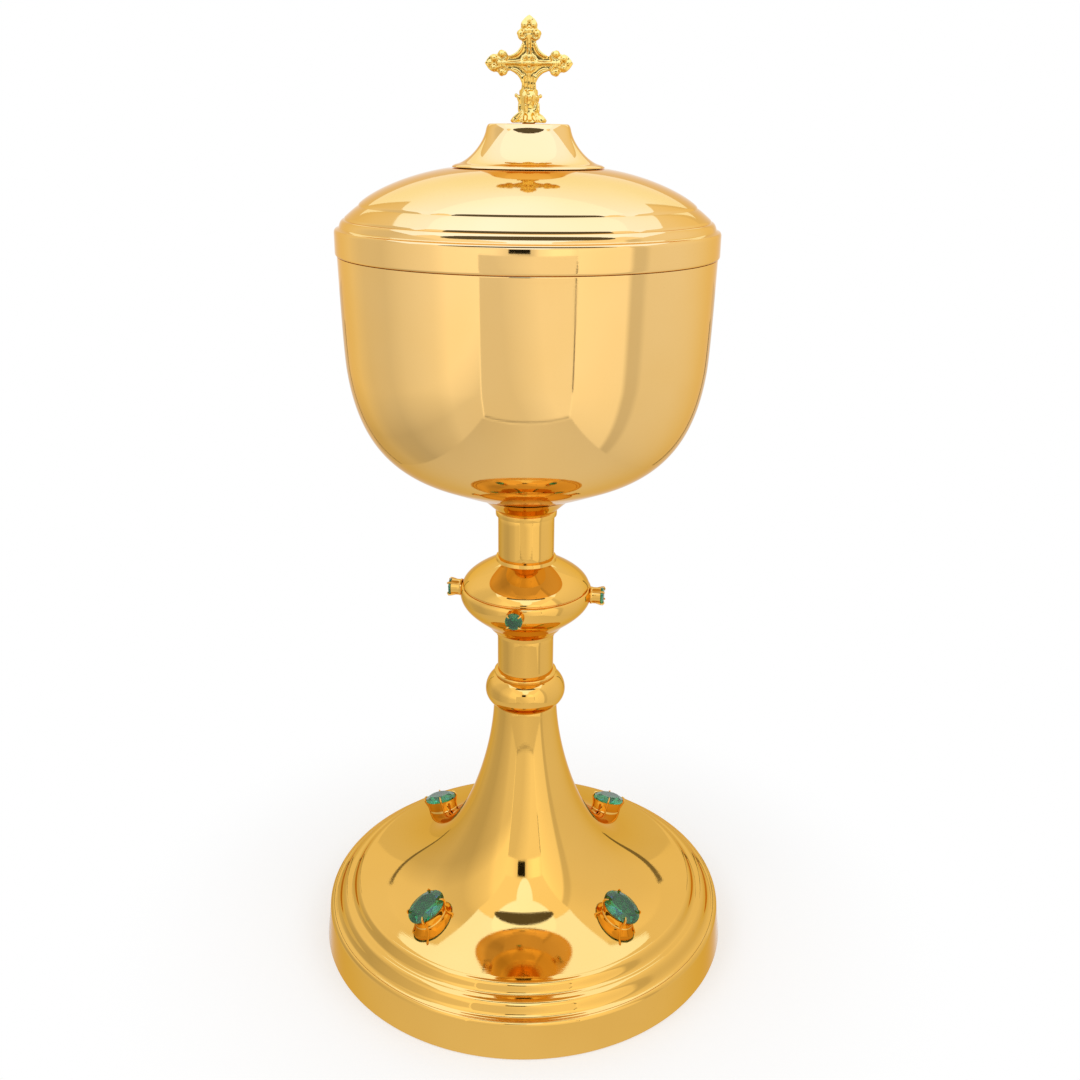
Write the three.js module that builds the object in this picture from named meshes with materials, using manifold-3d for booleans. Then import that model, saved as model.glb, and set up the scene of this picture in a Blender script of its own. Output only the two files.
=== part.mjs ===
// Ciborium: a lidded bowl on a stem with a jewelled knop and a wide spun foot.
// Millimetres, +Z up. The origin is the middle of the foot's underside.

import * as THREE from 'three';
import { mergeVertices } from 'three/addons/utils/BufferGeometryUtils.js';
import Module from 'manifold-3d';

const wasm = await Module();
wasm.setup();

// Driving dimensions of the walls and fits
const footWall = 1.2;
const bowlWall = 1.2;
const lidWall = 1.0;
const bandWall = 1.5;
const fitGap = 0.3;

// Foot band: the rim ring that stands on the table
const bandRadius = 79;
const bandTopRadius = 77.5;
const bandHeight = 12.6;
const bandLip = 1.4;
const bandBaseWidth = 6.8;
const ledgeWidth = 3;

// Foot shell: two rolls, a flared field and a trumpet up to the stem
const grooveWidth = 2.2;
const rollRadius = 3.3;
const rollLand = 2.6;
const rollLandRise = 0.9;
const flareRadius = 21.7;
const flareHeight = 54.5;
const trumpetRadius = 11.9;
const trumpetHeight = 97.4;

// Stem: ring, lower tube, knop and upper tube, stacked on the trumpet
const stemRingRadius = 15;
const stemRingHeight = 13.7;
const stemRingWaist = 5.5;
const stemRingLowRadius = 12.4;
const stemRingLip = 0.5;
const stemRingShoulder = 11.5;
const stemRingRidge = 11.75;
const stemRingRidgeHeight = 1.8;
const endLedge = 0.4;
const lowerTubeRadius = 10.4;
const lowerTubeLength = 14.7;
const tubeWall = 1.5;
const knopRadius = 24.1;
const knopSeamRadius = 23.2;
const knopLowerHeight = 19.4;
const knopUpperHeight = 11.2;
const knopCollarRadius = 10.9;
const knopCollarHeight = 1.5;
const knopBand = 2.6;
const knopSeamBand = 0.4;
const knopWall = 1.4;
const knopPlate = 2;
const upperTubeRadius = 10.15;
const upperTubeLength = 15.9;

// Bowl and the flared collar under it
const collarLipHeight = 2;
const collarLipRadius = 11;
const collarRadius = 18.2;
const collarLipEdge = 0.3;
const collarRise = 5.7;
const bowlTurnRadius = 36.2;
const bowlTurnRise = 10;
const bowlSideRadius = 61.1;
const bowlSideRise = 49;
const bowlMouthRadius = 62.4;
const bowlHeight = 84.9;

// Tie rod that holds the stem together, from the bowl's stud to the nut in the foot
const rodRadius = 3;
const rodTail = 9;
const studRadius = 7.5;
const studNeckRadius = 5.2;
const studFlange = 1.6;
const studHeight = 9;
const washerRadius = 8;
const washerThickness = 1.2;
const nutRadius = 5.8;
const nutHeight = 5;

// Lid: band, stepped shoulder, dome and the flange that drops into the bowl
const lidBandRadius = 63;
const lidBandHeight = 8.1;
const lidEdge = 0.9;
const lidBandRound = 1.2;
const lidStepRadius = 61.2;
const lidStepRise = 0.7;
const lidCreaseRadius = 59.1;
const lidCreaseRise = 11.4;
const lidShoulderRadius = 54.3;
const lidShoulderRise = 16;
const lidDomeRise = 27;
const lidCrownWidth = 2.6;
const lidCrownDrop = 0.2;
const flangeDepth = 8;
const flangeWall = 1.1;
const flangePlay = 0.5;
const flangeLead = 1;
const flangeTopGap = 1.6;

// Finial: the boss on the dome and the cast cross on the boss
const bossRadius = 23;
const bossSeat = 1;
const bossBead = 1.1;
const bossBeadEdge = 0.5;
const bossTopRadius = 13.8;
const bossLip = 2.2;
const bossLipEdge = 0.4;
const bossHeight = 12.9;
const bossWall = 1.6;
const crossHeight = 31.7;
const crossArmHeight = 17.8;
const crossArmReach = 13.6;
const crossBarHalf = 2.2;
const crossFillet = 3.2;
const crossDepth = 4.6;
const crossBevel = 0.9;
const budHalf = 3.9;
const budLength = 8.6;
const rosetteHalf = 3.1;
const rosetteRise = 1;
const rosetteFlat = 0.6;
const crossFootRadius = 6.2;
const crossFootRise = 3.6;
const crossTrunkRadius = 3.6;
const crossKnotRadius = 4.1;
const crossKnotHeight = 8.2;
const crossKnotTaper = 2;
const pegRadius = 2;
const pegTail = 4;
const pegNutRadius = 4.4;
const pegNutHeight = 3.2;
const pegWasherRadius = 6;

// Gems: four ovals on the foot's field and four rounds on the knop
const gemCount = 4;
const footGemLength = 14.2;
const footGemWidth = 10.6;
const footGemPlace = 49.4;
const footGemTurn = 45;
const footCupHeight = 5.9;
const knopGemDiameter = 5.2;
const knopGemDrop = 2.9;
const knopGemTurn = -8.5;
const knopCupHeight = 4;
const cupWall = 0.6;
const cupTaper = 0.6;
const crownShare = 0.12;
const pavilionShare = 0.32;
const girdleHalf = 0.3;
const tableShare = 0.62;
const prongWidth = 1.1;
const prongReach = 0.9;

// How each curve leaves one end and reaches the other: shares of the way across and up between them
const fieldPulls = [0.338, 0.07, 0.737, 0.212];
const trumpetPulls = [0.5, 0.265, 0.959, 0.663];
const ringRisePulls = [0.63, 0.25, 1, 0.615];
const ringFallPulls = [0, 0.413, 0.381, 0.794];
const knopRisePulls = [0.395, 0.379, 1, 0.562];
const knopFallPulls = [0.1, 0.366, 0.473, 0.646];
const collarPulls = [0.253, 0.244, 0.52, 0.642];
const bowlFloorPulls = [0.387, 0, 0.691, 0.5];
const bowlTurnPulls = [0.534, 0.141, 0.904, 0.41];
const bowlSidePulls = [0.462, 0.195, 0.692, 0.554];
const lidStepPulls = [0, 0.385, 0.476, 0.846];
const lidRollPulls = [0.042, 0.26, 0.667, 0.717];
const lidDomePulls = [0.08, 0.343, 0.498, 0.806];
const bossPulls = [0.4, 0.1, 0.95, 0.56];

// Facets round the turned pieces, and steps along their curves
const wideFacets = 36;
const stemFacets = 28;
const smallFacets = 12;
const footSteps = 6;
const footInsideSteps = 4;
const stemSteps = 5;
const knopSteps = 6;
const bowlSteps = 8;
const bowlInsideSteps = 5;
const lidSteps = 7;
const lidInsideSteps = 4;

// Places that follow from the driving dimensions
const ledgeHeight = bandHeight + bandLip - footWall;
const shellEdgeRadius = bandTopRadius - bandWall;
const rollTwoBase = new THREE.Vector2(shellEdgeRadius - grooveWidth, ledgeHeight + footWall);
const rollOneBase = new THREE.Vector2(
  rollTwoBase.x - rollRadius - rollLand,
  rollTwoBase.y + rollRadius + rollLandRise,
);
const fieldEdge = new THREE.Vector2(rollOneBase.x - rollRadius, rollOneBase.y + rollRadius);
const stemRingTop = trumpetHeight + stemRingHeight;
const knopBottom = stemRingTop + lowerTubeLength;
const knopSeam = knopBottom + knopLowerHeight;
const knopTop = knopSeam + knopUpperHeight;
const collarBottom = knopTop + upperTubeLength;
const bowlFloorHeight = collarBottom + collarRise;
const bowlRim = bowlFloorHeight + bowlHeight;
const lidBottom = bowlRim + fitGap;
const domeTop = lidBottom + lidDomeRise;
const bossBottom = domeTop + fitGap;
const bossTop = bossBottom + bossHeight;

const vector = (x, y) => new THREE.Vector2(x, y);

// A curve of (radius, height) points between two ends
function sweep(start, end, [startAcross, startUp, endAcross, endUp]) {
  const at = (across, up) => vector(start.x + (end.x - start.x) * across, start.y + (end.y - start.y) * up);
  return new THREE.CubicBezierCurve(start, at(startAcross, startUp), at(endAcross, endUp), end);
}

function quarterRoll(base, radius, steps) {
  const centre = vector(base.x - radius, base.y);
  const points = [];
  for (let step = 0; step <= steps; step += 1) {
    const angle = (step / steps) * (Math.PI / 2);
    points.push(vector(centre.x + radius * Math.cos(angle), centre.y + radius * Math.sin(angle)));
  }
  return points;
}

// The other face of a sheet: every point moved square to the outline, to its left for a plus wall
function offsetOutline(outline, wall) {
  return outline.map((point, index) => {
    const before = outline[Math.max(index - 1, 0)];
    const after = outline[Math.min(index + 1, outline.length - 1)];
    const first = (index === 0 ? after.clone().sub(point) : point.clone().sub(before)).normalize();
    const second = (index === outline.length - 1 ? first : after.clone().sub(point).normalize());
    const normal = vector(-first.y - second.y, first.x + second.x).normalize();
    const stretch = Math.max(normal.x * -first.y + normal.y * first.x, 0.5);
    return point.clone().addScaledVector(normal, wall / stretch);
  });
}

// A solid turned round the Z axis from a closed outline of (radius, height) points
function turned(outline, facets) {
  const closed = outline[0].x < 1e-6 ? outline : [...outline, outline[0].clone()];
  return new THREE.LatheGeometry(closed, facets).rotateX(Math.PI / 2);
}

function toSolid(geometry) {
  const bare = geometry.index ? geometry.toNonIndexed() : geometry.clone();
  bare.deleteAttribute('normal');
  bare.deleteAttribute('uv');
  const merged = mergeVertices(bare, 1e-4);
  const corners = Array.from(merged.index.array);
  const faces = [];
  for (let corner = 0; corner < corners.length; corner += 3) {
    const [a, b, c] = corners.slice(corner, corner + 3);
    if (a !== b && b !== c && c !== a) faces.push(a, b, c);
  }
  return new wasm.Manifold(new wasm.Mesh({
    numProp: 3,
    vertProperties: new Float32Array(merged.attributes.position.array),
    triVerts: new Uint32Array(faces),
  }));
}

function toGeometry(solid) {
  const mesh = solid.getMesh();
  const geometry = new THREE.BufferGeometry();
  geometry.setAttribute('position', new THREE.BufferAttribute(new Float32Array(mesh.vertProperties), 3));
  geometry.setIndex(new THREE.BufferAttribute(new Uint32Array(mesh.triVerts), 1));
  geometry.computeVertexNormals();
  return geometry;
}

const object = new THREE.Group();

function material(color, roughness, metalness) {
  return new THREE.MeshStandardMaterial({ color, roughness, metalness });
}
const gold = () => material(0xe6b352, 0.12, 1);
const brass = () => material(0xc79a4a, 0.4, 1);
const emerald = () => material(0x2f8c68, 0.05, 0);

function addPiece(name, geometry, finish, parent = object) {
  const mesh = new THREE.Mesh(geometry, finish);
  mesh.name = name;
  parent.add(mesh);
  return mesh;
}

// The foot's upper face from the groove at its edge to the stem, outside first
const flare = vector(flareRadius, flareHeight);
const fieldCurve = sweep(fieldEdge, flare, fieldPulls);
const trumpetCurve = sweep(flare, vector(trumpetRadius, trumpetHeight), trumpetPulls);

function footFace(steps) {
  return [
    vector(shellEdgeRadius, ledgeHeight + footWall),
    ...quarterRoll(rollTwoBase, rollRadius, Math.ceil(steps / 2)),
    ...quarterRoll(rollOneBase, rollRadius, Math.ceil(steps / 2)),
    ...fieldCurve.getPoints(steps + 2).slice(1),
    ...trumpetCurve.getPoints(steps).slice(1),
  ];
}

function footShell() {
  const outside = footFace(footSteps);
  const inside = offsetOutline(footFace(footInsideSteps), footWall);
  inside[0] = vector(shellEdgeRadius, ledgeHeight);
  inside[inside.length - 1] = vector(trumpetRadius - footWall, trumpetHeight - footWall);
  const bore = rodRadius + fitGap;
  return turned([
    ...outside,
    vector(bore, trumpetHeight),
    vector(bore, trumpetHeight - footWall),
    ...inside.reverse(),
  ], wideFacets);
}

function footBand() {
  const insideTop = shellEdgeRadius + fitGap;
  return turned([
    vector(bandRadius - bandBaseWidth, 0),
    vector(bandRadius, 0),
    vector(bandTopRadius, bandHeight),
    vector(bandTopRadius - 0.35 * bandWall, bandHeight + 0.75 * bandLip),
    vector(insideTop + 0.3 * bandWall, bandHeight + bandLip),
    vector(insideTop, bandHeight + bandLip),
    vector(insideTop, ledgeHeight),
    vector(shellEdgeRadius - ledgeWidth, ledgeHeight),
    vector(shellEdgeRadius - ledgeWidth, ledgeHeight - bandWall),
    vector(bandTopRadius - bandWall, ledgeHeight - bandWall),
    vector(bandRadius - bandWall, bandWall),
    vector(bandRadius - bandBaseWidth, bandWall),
  ], wideFacets);
}

// A turned stem piece with a bore that clears the tie rod
function bored(outside, bore, facets) {
  const low = outside[0].y;
  const high = outside[outside.length - 1].y;
  return turned([vector(bore, low), ...outside, vector(bore, high)], facets);
}

function stemRing() {
  const lip = vector(stemRingLowRadius, trumpetHeight + stemRingLip);
  const widest = vector(stemRingRadius, trumpetHeight + stemRingWaist);
  const shoulder = vector(stemRingShoulder, stemRingTop - stemRingRidgeHeight);
  return bored([
    vector(trumpetRadius, trumpetHeight),
    ...sweep(lip, widest, ringRisePulls).getPoints(stemSteps),
    ...sweep(widest, shoulder, ringFallPulls).getPoints(stemSteps).slice(1),
    vector(stemRingRidge, stemRingTop - 0.6 * stemRingRidgeHeight),
    vector(stemRingRidge, stemRingTop - 0.3 * stemRingRidgeHeight),
    vector(lowerTubeRadius + endLedge, stemRingTop),
  ], rodRadius + fitGap, stemFacets);
}

// A hollow half of the knop: the wall follows its face and a plate closes its end on the tube
function knopLower() {
  const root = vector(knopCollarRadius + endLedge, knopBottom + knopCollarHeight);
  const face = sweep(root, vector(knopRadius, knopSeam - knopBand), knopRisePulls).getPoints(knopSteps);
  const plateTop = knopBottom + knopPlate;
  const inside = offsetOutline(face, knopWall).filter((point) => point.y > plateTop + 0.5 * knopPlate);
  const bore = rodRadius + fitGap;
  return turned([
    vector(bore, knopBottom),
    vector(knopCollarRadius, knopBottom),
    vector(knopCollarRadius, knopBottom + knopCollarHeight),
    ...face,
    vector(knopRadius - 0.2 * (knopRadius - knopSeamRadius), knopSeam - 0.4 * knopBand),
    vector(knopSeamRadius, knopSeam),
    vector(knopSeamRadius - knopWall, knopSeam),
    ...inside.reverse(),
    vector(inside[inside.length - 1].x - 1, plateTop + endLedge),
    vector(bore, plateTop),
  ], stemFacets);
}

function knopUpper() {
  const root = vector(knopCollarRadius + endLedge, knopTop - knopCollarHeight);
  const edge = vector(knopSeamRadius, knopSeam + knopSeamBand);
  const face = sweep(edge, root, knopFallPulls).getPoints(knopSteps);
  const plateLow = knopTop - knopPlate;
  const inside = offsetOutline(face, knopWall).filter((point) => point.y < plateLow - 0.5 * knopPlate);
  const bore = rodRadius + fitGap;
  return turned([
    vector(knopSeamRadius - knopWall, knopSeam),
    vector(knopSeamRadius, knopSeam),
    ...face,
    vector(knopCollarRadius, knopTop - knopCollarHeight),
    vector(knopCollarRadius, knopTop),
    vector(bore, knopTop),
    vector(bore, plateLow),
    vector(inside[inside.length - 1].x - 1, plateLow - endLedge),
    ...inside.reverse(),
  ], stemFacets);
}

function tube(radius, low, high) {
  return bored([vector(radius, low), vector(radius, high)], radius - tubeWall, stemFacets);
}

// The bowl's outside, from the middle of its floor up to the mouth
const bowlTurn = vector(bowlTurnRadius, bowlFloorHeight + bowlTurnRise);
const bowlSide = vector(bowlSideRadius, bowlFloorHeight + bowlSideRise);
const bowlMouth = vector(bowlMouthRadius, bowlRim);
const floorCurve = sweep(vector(0, bowlFloorHeight), bowlTurn, bowlFloorPulls);

function bowlFace(steps) {
  return [
    ...floorCurve.getPoints(Math.ceil(steps / 2)),
    ...sweep(bowlTurn, bowlSide, bowlTurnPulls).getPoints(steps).slice(1),
    ...sweep(bowlSide, bowlMouth, bowlSidePulls).getPoints(Math.ceil(steps / 3)).slice(1),
  ];
}

function bowl() {
  const inside = offsetOutline(bowlFace(bowlInsideSteps), bowlWall);
  inside[0] = vector(0, bowlFloorHeight + bowlWall);
  inside[inside.length - 1] = vector(bowlMouthRadius - bowlWall, bowlRim);
  return turned([...bowlFace(bowlSteps), ...inside.reverse()], wideFacets);
}

// Where a curve of (radius, height) points reaches a radius
function curveAt(curve, radius) {
  const rising = curve.getPoint(1).x > curve.getPoint(0).x;
  let low = 0;
  let high = 1;
  for (let round = 0; round < 40; round += 1) {
    const middle = (low + high) / 2;
    if (curve.getPoint(middle).x < radius === rising) low = middle;
    else high = middle;
  }
  return low;
}

function bowlFloorAt(radius) {
  return floorCurve.getPoint(curveAt(floorCurve, radius)).y;
}

function bowlCollar() {
  const edge = bowlFloorAt(collarRadius) - fitGap;
  const innerEdge = bowlFloorAt(studRadius + fitGap) - fitGap;
  const lip = vector(collarLipRadius - collarLipEdge, collarBottom + collarLipHeight);
  const bore = studRadius + fitGap;
  return turned([
    vector(bore, collarBottom),
    vector(collarLipRadius, collarBottom),
    vector(collarLipRadius, lip.y - collarLipEdge),
    ...sweep(lip, vector(collarRadius, edge), collarPulls).getPoints(stemSteps),
    vector((collarRadius + bore) / 2, bowlFloorAt((collarRadius + bore) / 2) - fitGap),
    vector(bore, innerEdge),
  ], stemFacets);
}

// The stud under the bowl's floor, with the blind bore that the tie rod screws into
function bowlStud() {
  const top = bowlFloorHeight - fitGap;
  const bore = rodRadius + fitGap;
  const low = top - studHeight;
  return turned([
    vector(bore, low),
    vector(studNeckRadius, low),
    vector(studNeckRadius, top - studFlange),
    vector(studRadius, top - studFlange),
    vector(studRadius, top),
    vector(0, top),
    vector(0, top - studFlange),
    vector(bore, top - studFlange),
  ], stemFacets);
}

const washerTop = trumpetHeight - footWall;
const nutTop = washerTop - washerThickness;
const rodBottom = nutTop - nutHeight - rodTail;
const rodTop = bowlFloorHeight - fitGap - studFlange - fitGap;

function rod(radius, low, high) {
  return turned([vector(0, low), vector(radius, low), vector(radius, high), vector(0, high)], smallFacets);
}

function washer(radius, hole, low, high) {
  return bored([vector(radius, low), vector(radius, high)], hole + fitGap, smallFacets * 1.5);
}

function hexNut(radius, hole, low, high) {
  const outline = new THREE.Shape();
  for (let corner = 0; corner < 6; corner += 1) {
    const angle = (corner * Math.PI) / 3;
    const point = vector(radius * Math.cos(angle), radius * Math.sin(angle));
    if (corner === 0) outline.moveTo(point.x, point.y);
    else outline.lineTo(point.x, point.y);
  }
  outline.closePath();
  const eye = new THREE.Path();
  eye.absarc(0, 0, hole + fitGap, 0, Math.PI * 2, true);
  outline.holes.push(eye);
  const options = { depth: high - low, bevelEnabled: false, curveSegments: smallFacets / 2 };
  return new THREE.ExtrudeGeometry(outline, options).translate(0, 0, low);
}

// The lid's outside, from its lower edge up the band, over two steps and the dome
const lidBandTop = lidBottom + lidBandHeight;
const shoulder = vector(lidShoulderRadius, lidBottom + lidShoulderRise);

function lidFace(steps) {
  const step = vector(lidStepRadius, lidBandTop + lidStepRise);
  const crease = vector(lidCreaseRadius, lidBottom + lidCreaseRise);
  const crown = vector(bossRadius + lidCrownWidth, domeTop - lidCrownDrop);
  return [
    vector(lidBandRadius - lidEdge, lidBottom),
    vector(lidBandRadius, lidBottom + lidEdge),
    vector(lidBandRadius, lidBandTop - lidBandRound),
    vector(lidBandRadius - 0.7 * lidBandRound, lidBandTop),
    ...sweep(step, crease, lidStepPulls).getPoints(Math.ceil(steps / 3)),
    ...sweep(crease, shoulder, lidRollPulls).getPoints(Math.ceil(steps / 2)).slice(1),
    ...sweep(shoulder, crown, lidDomePulls).getPoints(steps).slice(1),
    vector(bossRadius - bossSeat, domeTop),
  ];
}

function lidShell() {
  const outside = lidFace(lidSteps);
  const inside = offsetOutline(lidFace(lidInsideSteps), lidWall);
  inside[0] = vector(lidBandRadius - lidEdge - lidWall * 0.4, lidBottom);
  inside[1] = vector(lidBandRadius - lidWall, lidBottom + lidEdge);
  inside[inside.length - 1] = vector(bossRadius - bossSeat, domeTop - lidWall);
  const bore = pegRadius + fitGap;
  return turned([
    ...outside,
    vector(bore, domeTop),
    vector(bore, domeTop - lidWall),
    ...inside.reverse(),
  ], wideFacets);
}

// The ring inside the lid: its upper half is held in the band, its lower half fits the bowl's mouth
function lidFlange() {
  const upper = lidBandRadius - lidWall - fitGap;
  const lower = bowlMouthRadius - bowlWall - flangePlay;
  const inner = lower - flangeWall;
  const step = lidBottom + lidEdge;
  return turned([
    vector(inner, bowlRim - flangeDepth),
    vector(lower - 0.5 * flangeLead, bowlRim - flangeDepth),
    vector(lower, bowlRim - flangeDepth + flangeLead),
    vector(lower, step),
    vector(upper, step),
    vector(upper, lidBandTop - flangeTopGap),
    vector(inner, lidBandTop - flangeTopGap),
  ], wideFacets);
}

// The hollow flare that carries the cross, with the bead at its foot
function lidBoss() {
  const beadTop = vector(bossRadius - bossBeadEdge, bossBottom + bossBead);
  const face = sweep(beadTop, vector(bossTopRadius, bossTop - bossLip), bossPulls).getPoints(knopSteps);
  const inside = offsetOutline(face.slice(1, -1), bossWall);
  const bore = pegRadius + fitGap;
  return turned([
    vector(bossRadius - bossWall, bossBottom),
    vector(bossRadius, bossBottom),
    vector(bossRadius + 0.4 * bossBeadEdge, bossBottom + bossBead * 0.5),
    ...face,
    vector(bossTopRadius, bossTop - bossLipEdge),
    vector(bossTopRadius - bossLipEdge, bossTop),
    vector(bore, bossTop),
    vector(bore, bossTop - bossWall),
    vector(bossTopRadius - bossWall, bossTop - bossWall),
    ...inside.reverse(),
  ], stemFacets);
}

// One end of the cross: from the crossing's fillet and the neck out to the bud's lobe and its point
function budOutline(reach, neck) {
  const root = reach - budLength;
  return [
    vector(crossFillet, crossFillet),
    vector(neck, root),
    vector(neck, root + budLength * 0.12),
    vector(budHalf * 0.78, root + budLength * 0.28),
    vector(budHalf, root + budLength * 0.42),
    vector(budHalf * 0.7, root + budLength * 0.58),
    vector(budHalf * 0.62, root + budLength * 0.76),
    vector(budHalf * 0.3, root + budLength * 0.93),
    vector(0, reach),
  ];
}

function crossOutline() {
  const upper = crossHeight - crossArmHeight;
  const ends = [];
  [crossArmReach, upper, crossArmReach].forEach((reach, index) => {
    const half = budOutline(reach, crossBarHalf);
    const mirrored = half.slice(1, -1).reverse().map((point) => vector(-point.x, point.y));
    const whole = [...half, ...mirrored];
    const turn = ((index - 1) * Math.PI) / 2;
    whole.forEach((point) => ends.push(point.rotateAround(vector(0, 0), turn)));
  });
  const shaftFoot = -crossArmHeight + crossKnotHeight;
  const shaftTop = -budLength * 0.6;
  return new THREE.Shape([
    vector(crossBarHalf, shaftTop),
    ...ends,
    vector(-crossFillet, -crossFillet),
    vector(-crossBarHalf, shaftTop),
    vector(-crossBarHalf, shaftFoot),
    vector(crossBarHalf, shaftFoot),
  ]);
}

function cross() {
  const plate = new THREE.ExtrudeGeometry(crossOutline(), {
    depth: crossDepth - 2 * crossBevel,
    bevelThickness: crossBevel,
    bevelSize: crossBevel * 0.6,
    bevelOffset: -crossBevel * 0.6,
    bevelSegments: 1,
  });
  plate.translate(0, 0, -crossDepth / 2 + crossBevel).rotateX(Math.PI / 2);
  plate.translate(0, 0, bossTop + crossArmHeight);
  const low = bossTop + fitGap;
  const knot = turned([
    vector(0, low),
    vector(crossFootRadius, low),
    vector((crossFootRadius + crossTrunkRadius) / 2, low + crossFootRise * 0.5),
    vector(crossTrunkRadius, low + crossFootRise),
    vector(crossTrunkRadius, low + crossKnotHeight - crossKnotTaper),
    vector(crossKnotRadius, low + crossKnotHeight),
    vector(crossBarHalf, low + crossKnotHeight + crossKnotTaper),
    vector(0, low + crossKnotHeight + crossKnotTaper),
  ], smallFacets);
  const rosetteReach = rosetteRise + crossDepth / 2;
  const rosette = new THREE.CylinderGeometry(rosetteFlat, rosetteHalf, rosetteReach, 4);
  const front = rosette.clone().rotateX(Math.PI / 2);
  front.translate(0, -rosetteReach / 2, bossTop + crossArmHeight);
  const back = rosette.clone().rotateX(-Math.PI / 2);
  back.translate(0, rosetteReach / 2, bossTop + crossArmHeight);
  const peg = rod(pegRadius, pegBottom, low + pegRadius);
  let whole = toSolid(plate).add(toSolid(knot)).add(toSolid(peg));
  whole = whole.add(toSolid(front)).add(toSolid(back));
  return toGeometry(whole);
}

const crossWasherTop = domeTop - lidWall;
const crossNutTop = crossWasherTop - washerThickness;
const pegBottom = crossNutTop - pegNutHeight - pegTail;

// A cut stone standing on its point: table, crown, girdle and pavilion, grown for a clearance
function stone(diameter, ratio, grow) {
  const half = diameter / 2 + grow;
  const geometry = turned([
    vector(0, -diameter * pavilionShare - grow),
    vector(half, -girdleHalf - grow),
    vector(half, girdleHalf + grow),
    vector(half * tableShare, diameter * crownShare + grow),
    vector(0, diameter * crownShare + grow),
  ], smallFacets);
  return geometry.scale(1, ratio, 1);
}

// A cup with four prongs folded over the stone's crown, on the local Z axis, its rim at z = 0
function cup(diameter, ratio, height) {
  const half = diameter / 2;
  const outer = half + fitGap + cupWall;
  const floor = diameter * pavilionShare + 2 * fitGap;
  const shell = turned([
    vector(0, -height - outer),
    vector(outer - cupTaper, -height - outer),
    vector(outer, 0),
    vector(half - cupWall, 0),
    vector(half - 2 * cupWall, -floor),
    vector(0, -floor),
  ], smallFacets).scale(1, ratio, 1);
  let solid = toSolid(shell);
  const prong = new THREE.Shape([
    vector(half - prongReach, -cupWall),
    vector(outer - 0.1, -cupWall),
    vector(outer - 0.1, prongWidth),
    vector(half - prongReach, diameter * crownShare + prongWidth),
  ]);
  const options = { depth: prongWidth, bevelEnabled: false };
  for (let corner = 0; corner < gemCount; corner += 1) {
    const angle = Math.PI / 4 + (corner * Math.PI) / 2;
    const tooth = new THREE.ExtrudeGeometry(prong, options).translate(0, 0, -prongWidth / 2);
    const turn = new THREE.Matrix4().makeRotationZ(angle);
    tooth.rotateX(Math.PI / 2).applyMatrix4(turn).scale(1, ratio, 1);
    solid = solid.add(toSolid(tooth));
  }
  return solid.subtract(toSolid(stone(diameter, ratio, fitGap)));
}

// The space that a turned piece fills, grown by the clearance, for cutting what stands on it
function seatBody(face, low, facets) {
  const grown = offsetOutline(face, -fitGap);
  const first = vector(grown[0].x, low);
  return toSolid(turned([vector(0, low), first, ...grown, vector(0, grown[grown.length - 1].y)], facets));
}

function placed(solid, matrix) {
  return solid.transform(matrix.elements);
}

// The four oval settings round the foot, square to the field at their place
function footSettings() {
  const place = curveAt(fieldCurve, footGemPlace);
  const point = fieldCurve.getPoint(place);
  const tangent = fieldCurve.getTangent(place);
  const tilt = Math.atan2(tangent.y, -tangent.x);
  const body = seatBody(footFace(footSteps), 0, wideFacets);
  const ratio = footGemWidth / footGemLength;
  for (let index = 0; index < gemCount; index += 1) {
    const turn = ((footGemTurn + index * (360 / gemCount)) * Math.PI) / 180 - Math.PI / 2;
    const frame = new THREE.Matrix4().makeRotationZ(turn);
    frame.multiply(new THREE.Matrix4().makeTranslation(point.x, 0, point.y));
    frame.multiply(new THREE.Matrix4().makeRotationY(tilt));
    frame.multiply(new THREE.Matrix4().makeTranslation(0, 0, footCupHeight));
    const setting = placed(cup(footGemLength, ratio, footCupHeight), frame).subtract(body);
    addPiece(`foot_gem_setting_${index + 1}`, toGeometry(setting), gold());
    const gem = stone(footGemLength, ratio, 0).applyMatrix4(frame);
    addPiece(`foot_gem_${index + 1}`, gem, emerald());
  }
}

// The four round settings on the knop's widest band, pointing straight out
function knopSettings() {
  const reach = knopRadius + knopCupHeight;
  const body = toSolid(turned([
    vector(0, knopBottom),
    vector(knopRadius + fitGap, knopBottom),
    vector(knopRadius + fitGap, knopTop),
    vector(0, knopTop),
  ], stemFacets));
  for (let index = 0; index < gemCount; index += 1) {
    const turn = ((knopGemTurn + index * (360 / gemCount)) * Math.PI) / 180 - Math.PI / 2;
    const frame = new THREE.Matrix4().makeRotationZ(turn);
    frame.multiply(new THREE.Matrix4().makeTranslation(reach, 0, knopSeam - knopGemDrop));
    frame.multiply(new THREE.Matrix4().makeRotationY(Math.PI / 2));
    const setting = placed(cup(knopGemDiameter, 1, knopCupHeight), frame).subtract(body);
    addPiece(`knop_gem_setting_${index + 1}`, toGeometry(setting), gold());
    const gem = stone(knopGemDiameter, 1, 0).applyMatrix4(frame);
    addPiece(`knop_gem_${index + 1}`, gem, emerald());
  }
}

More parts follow.
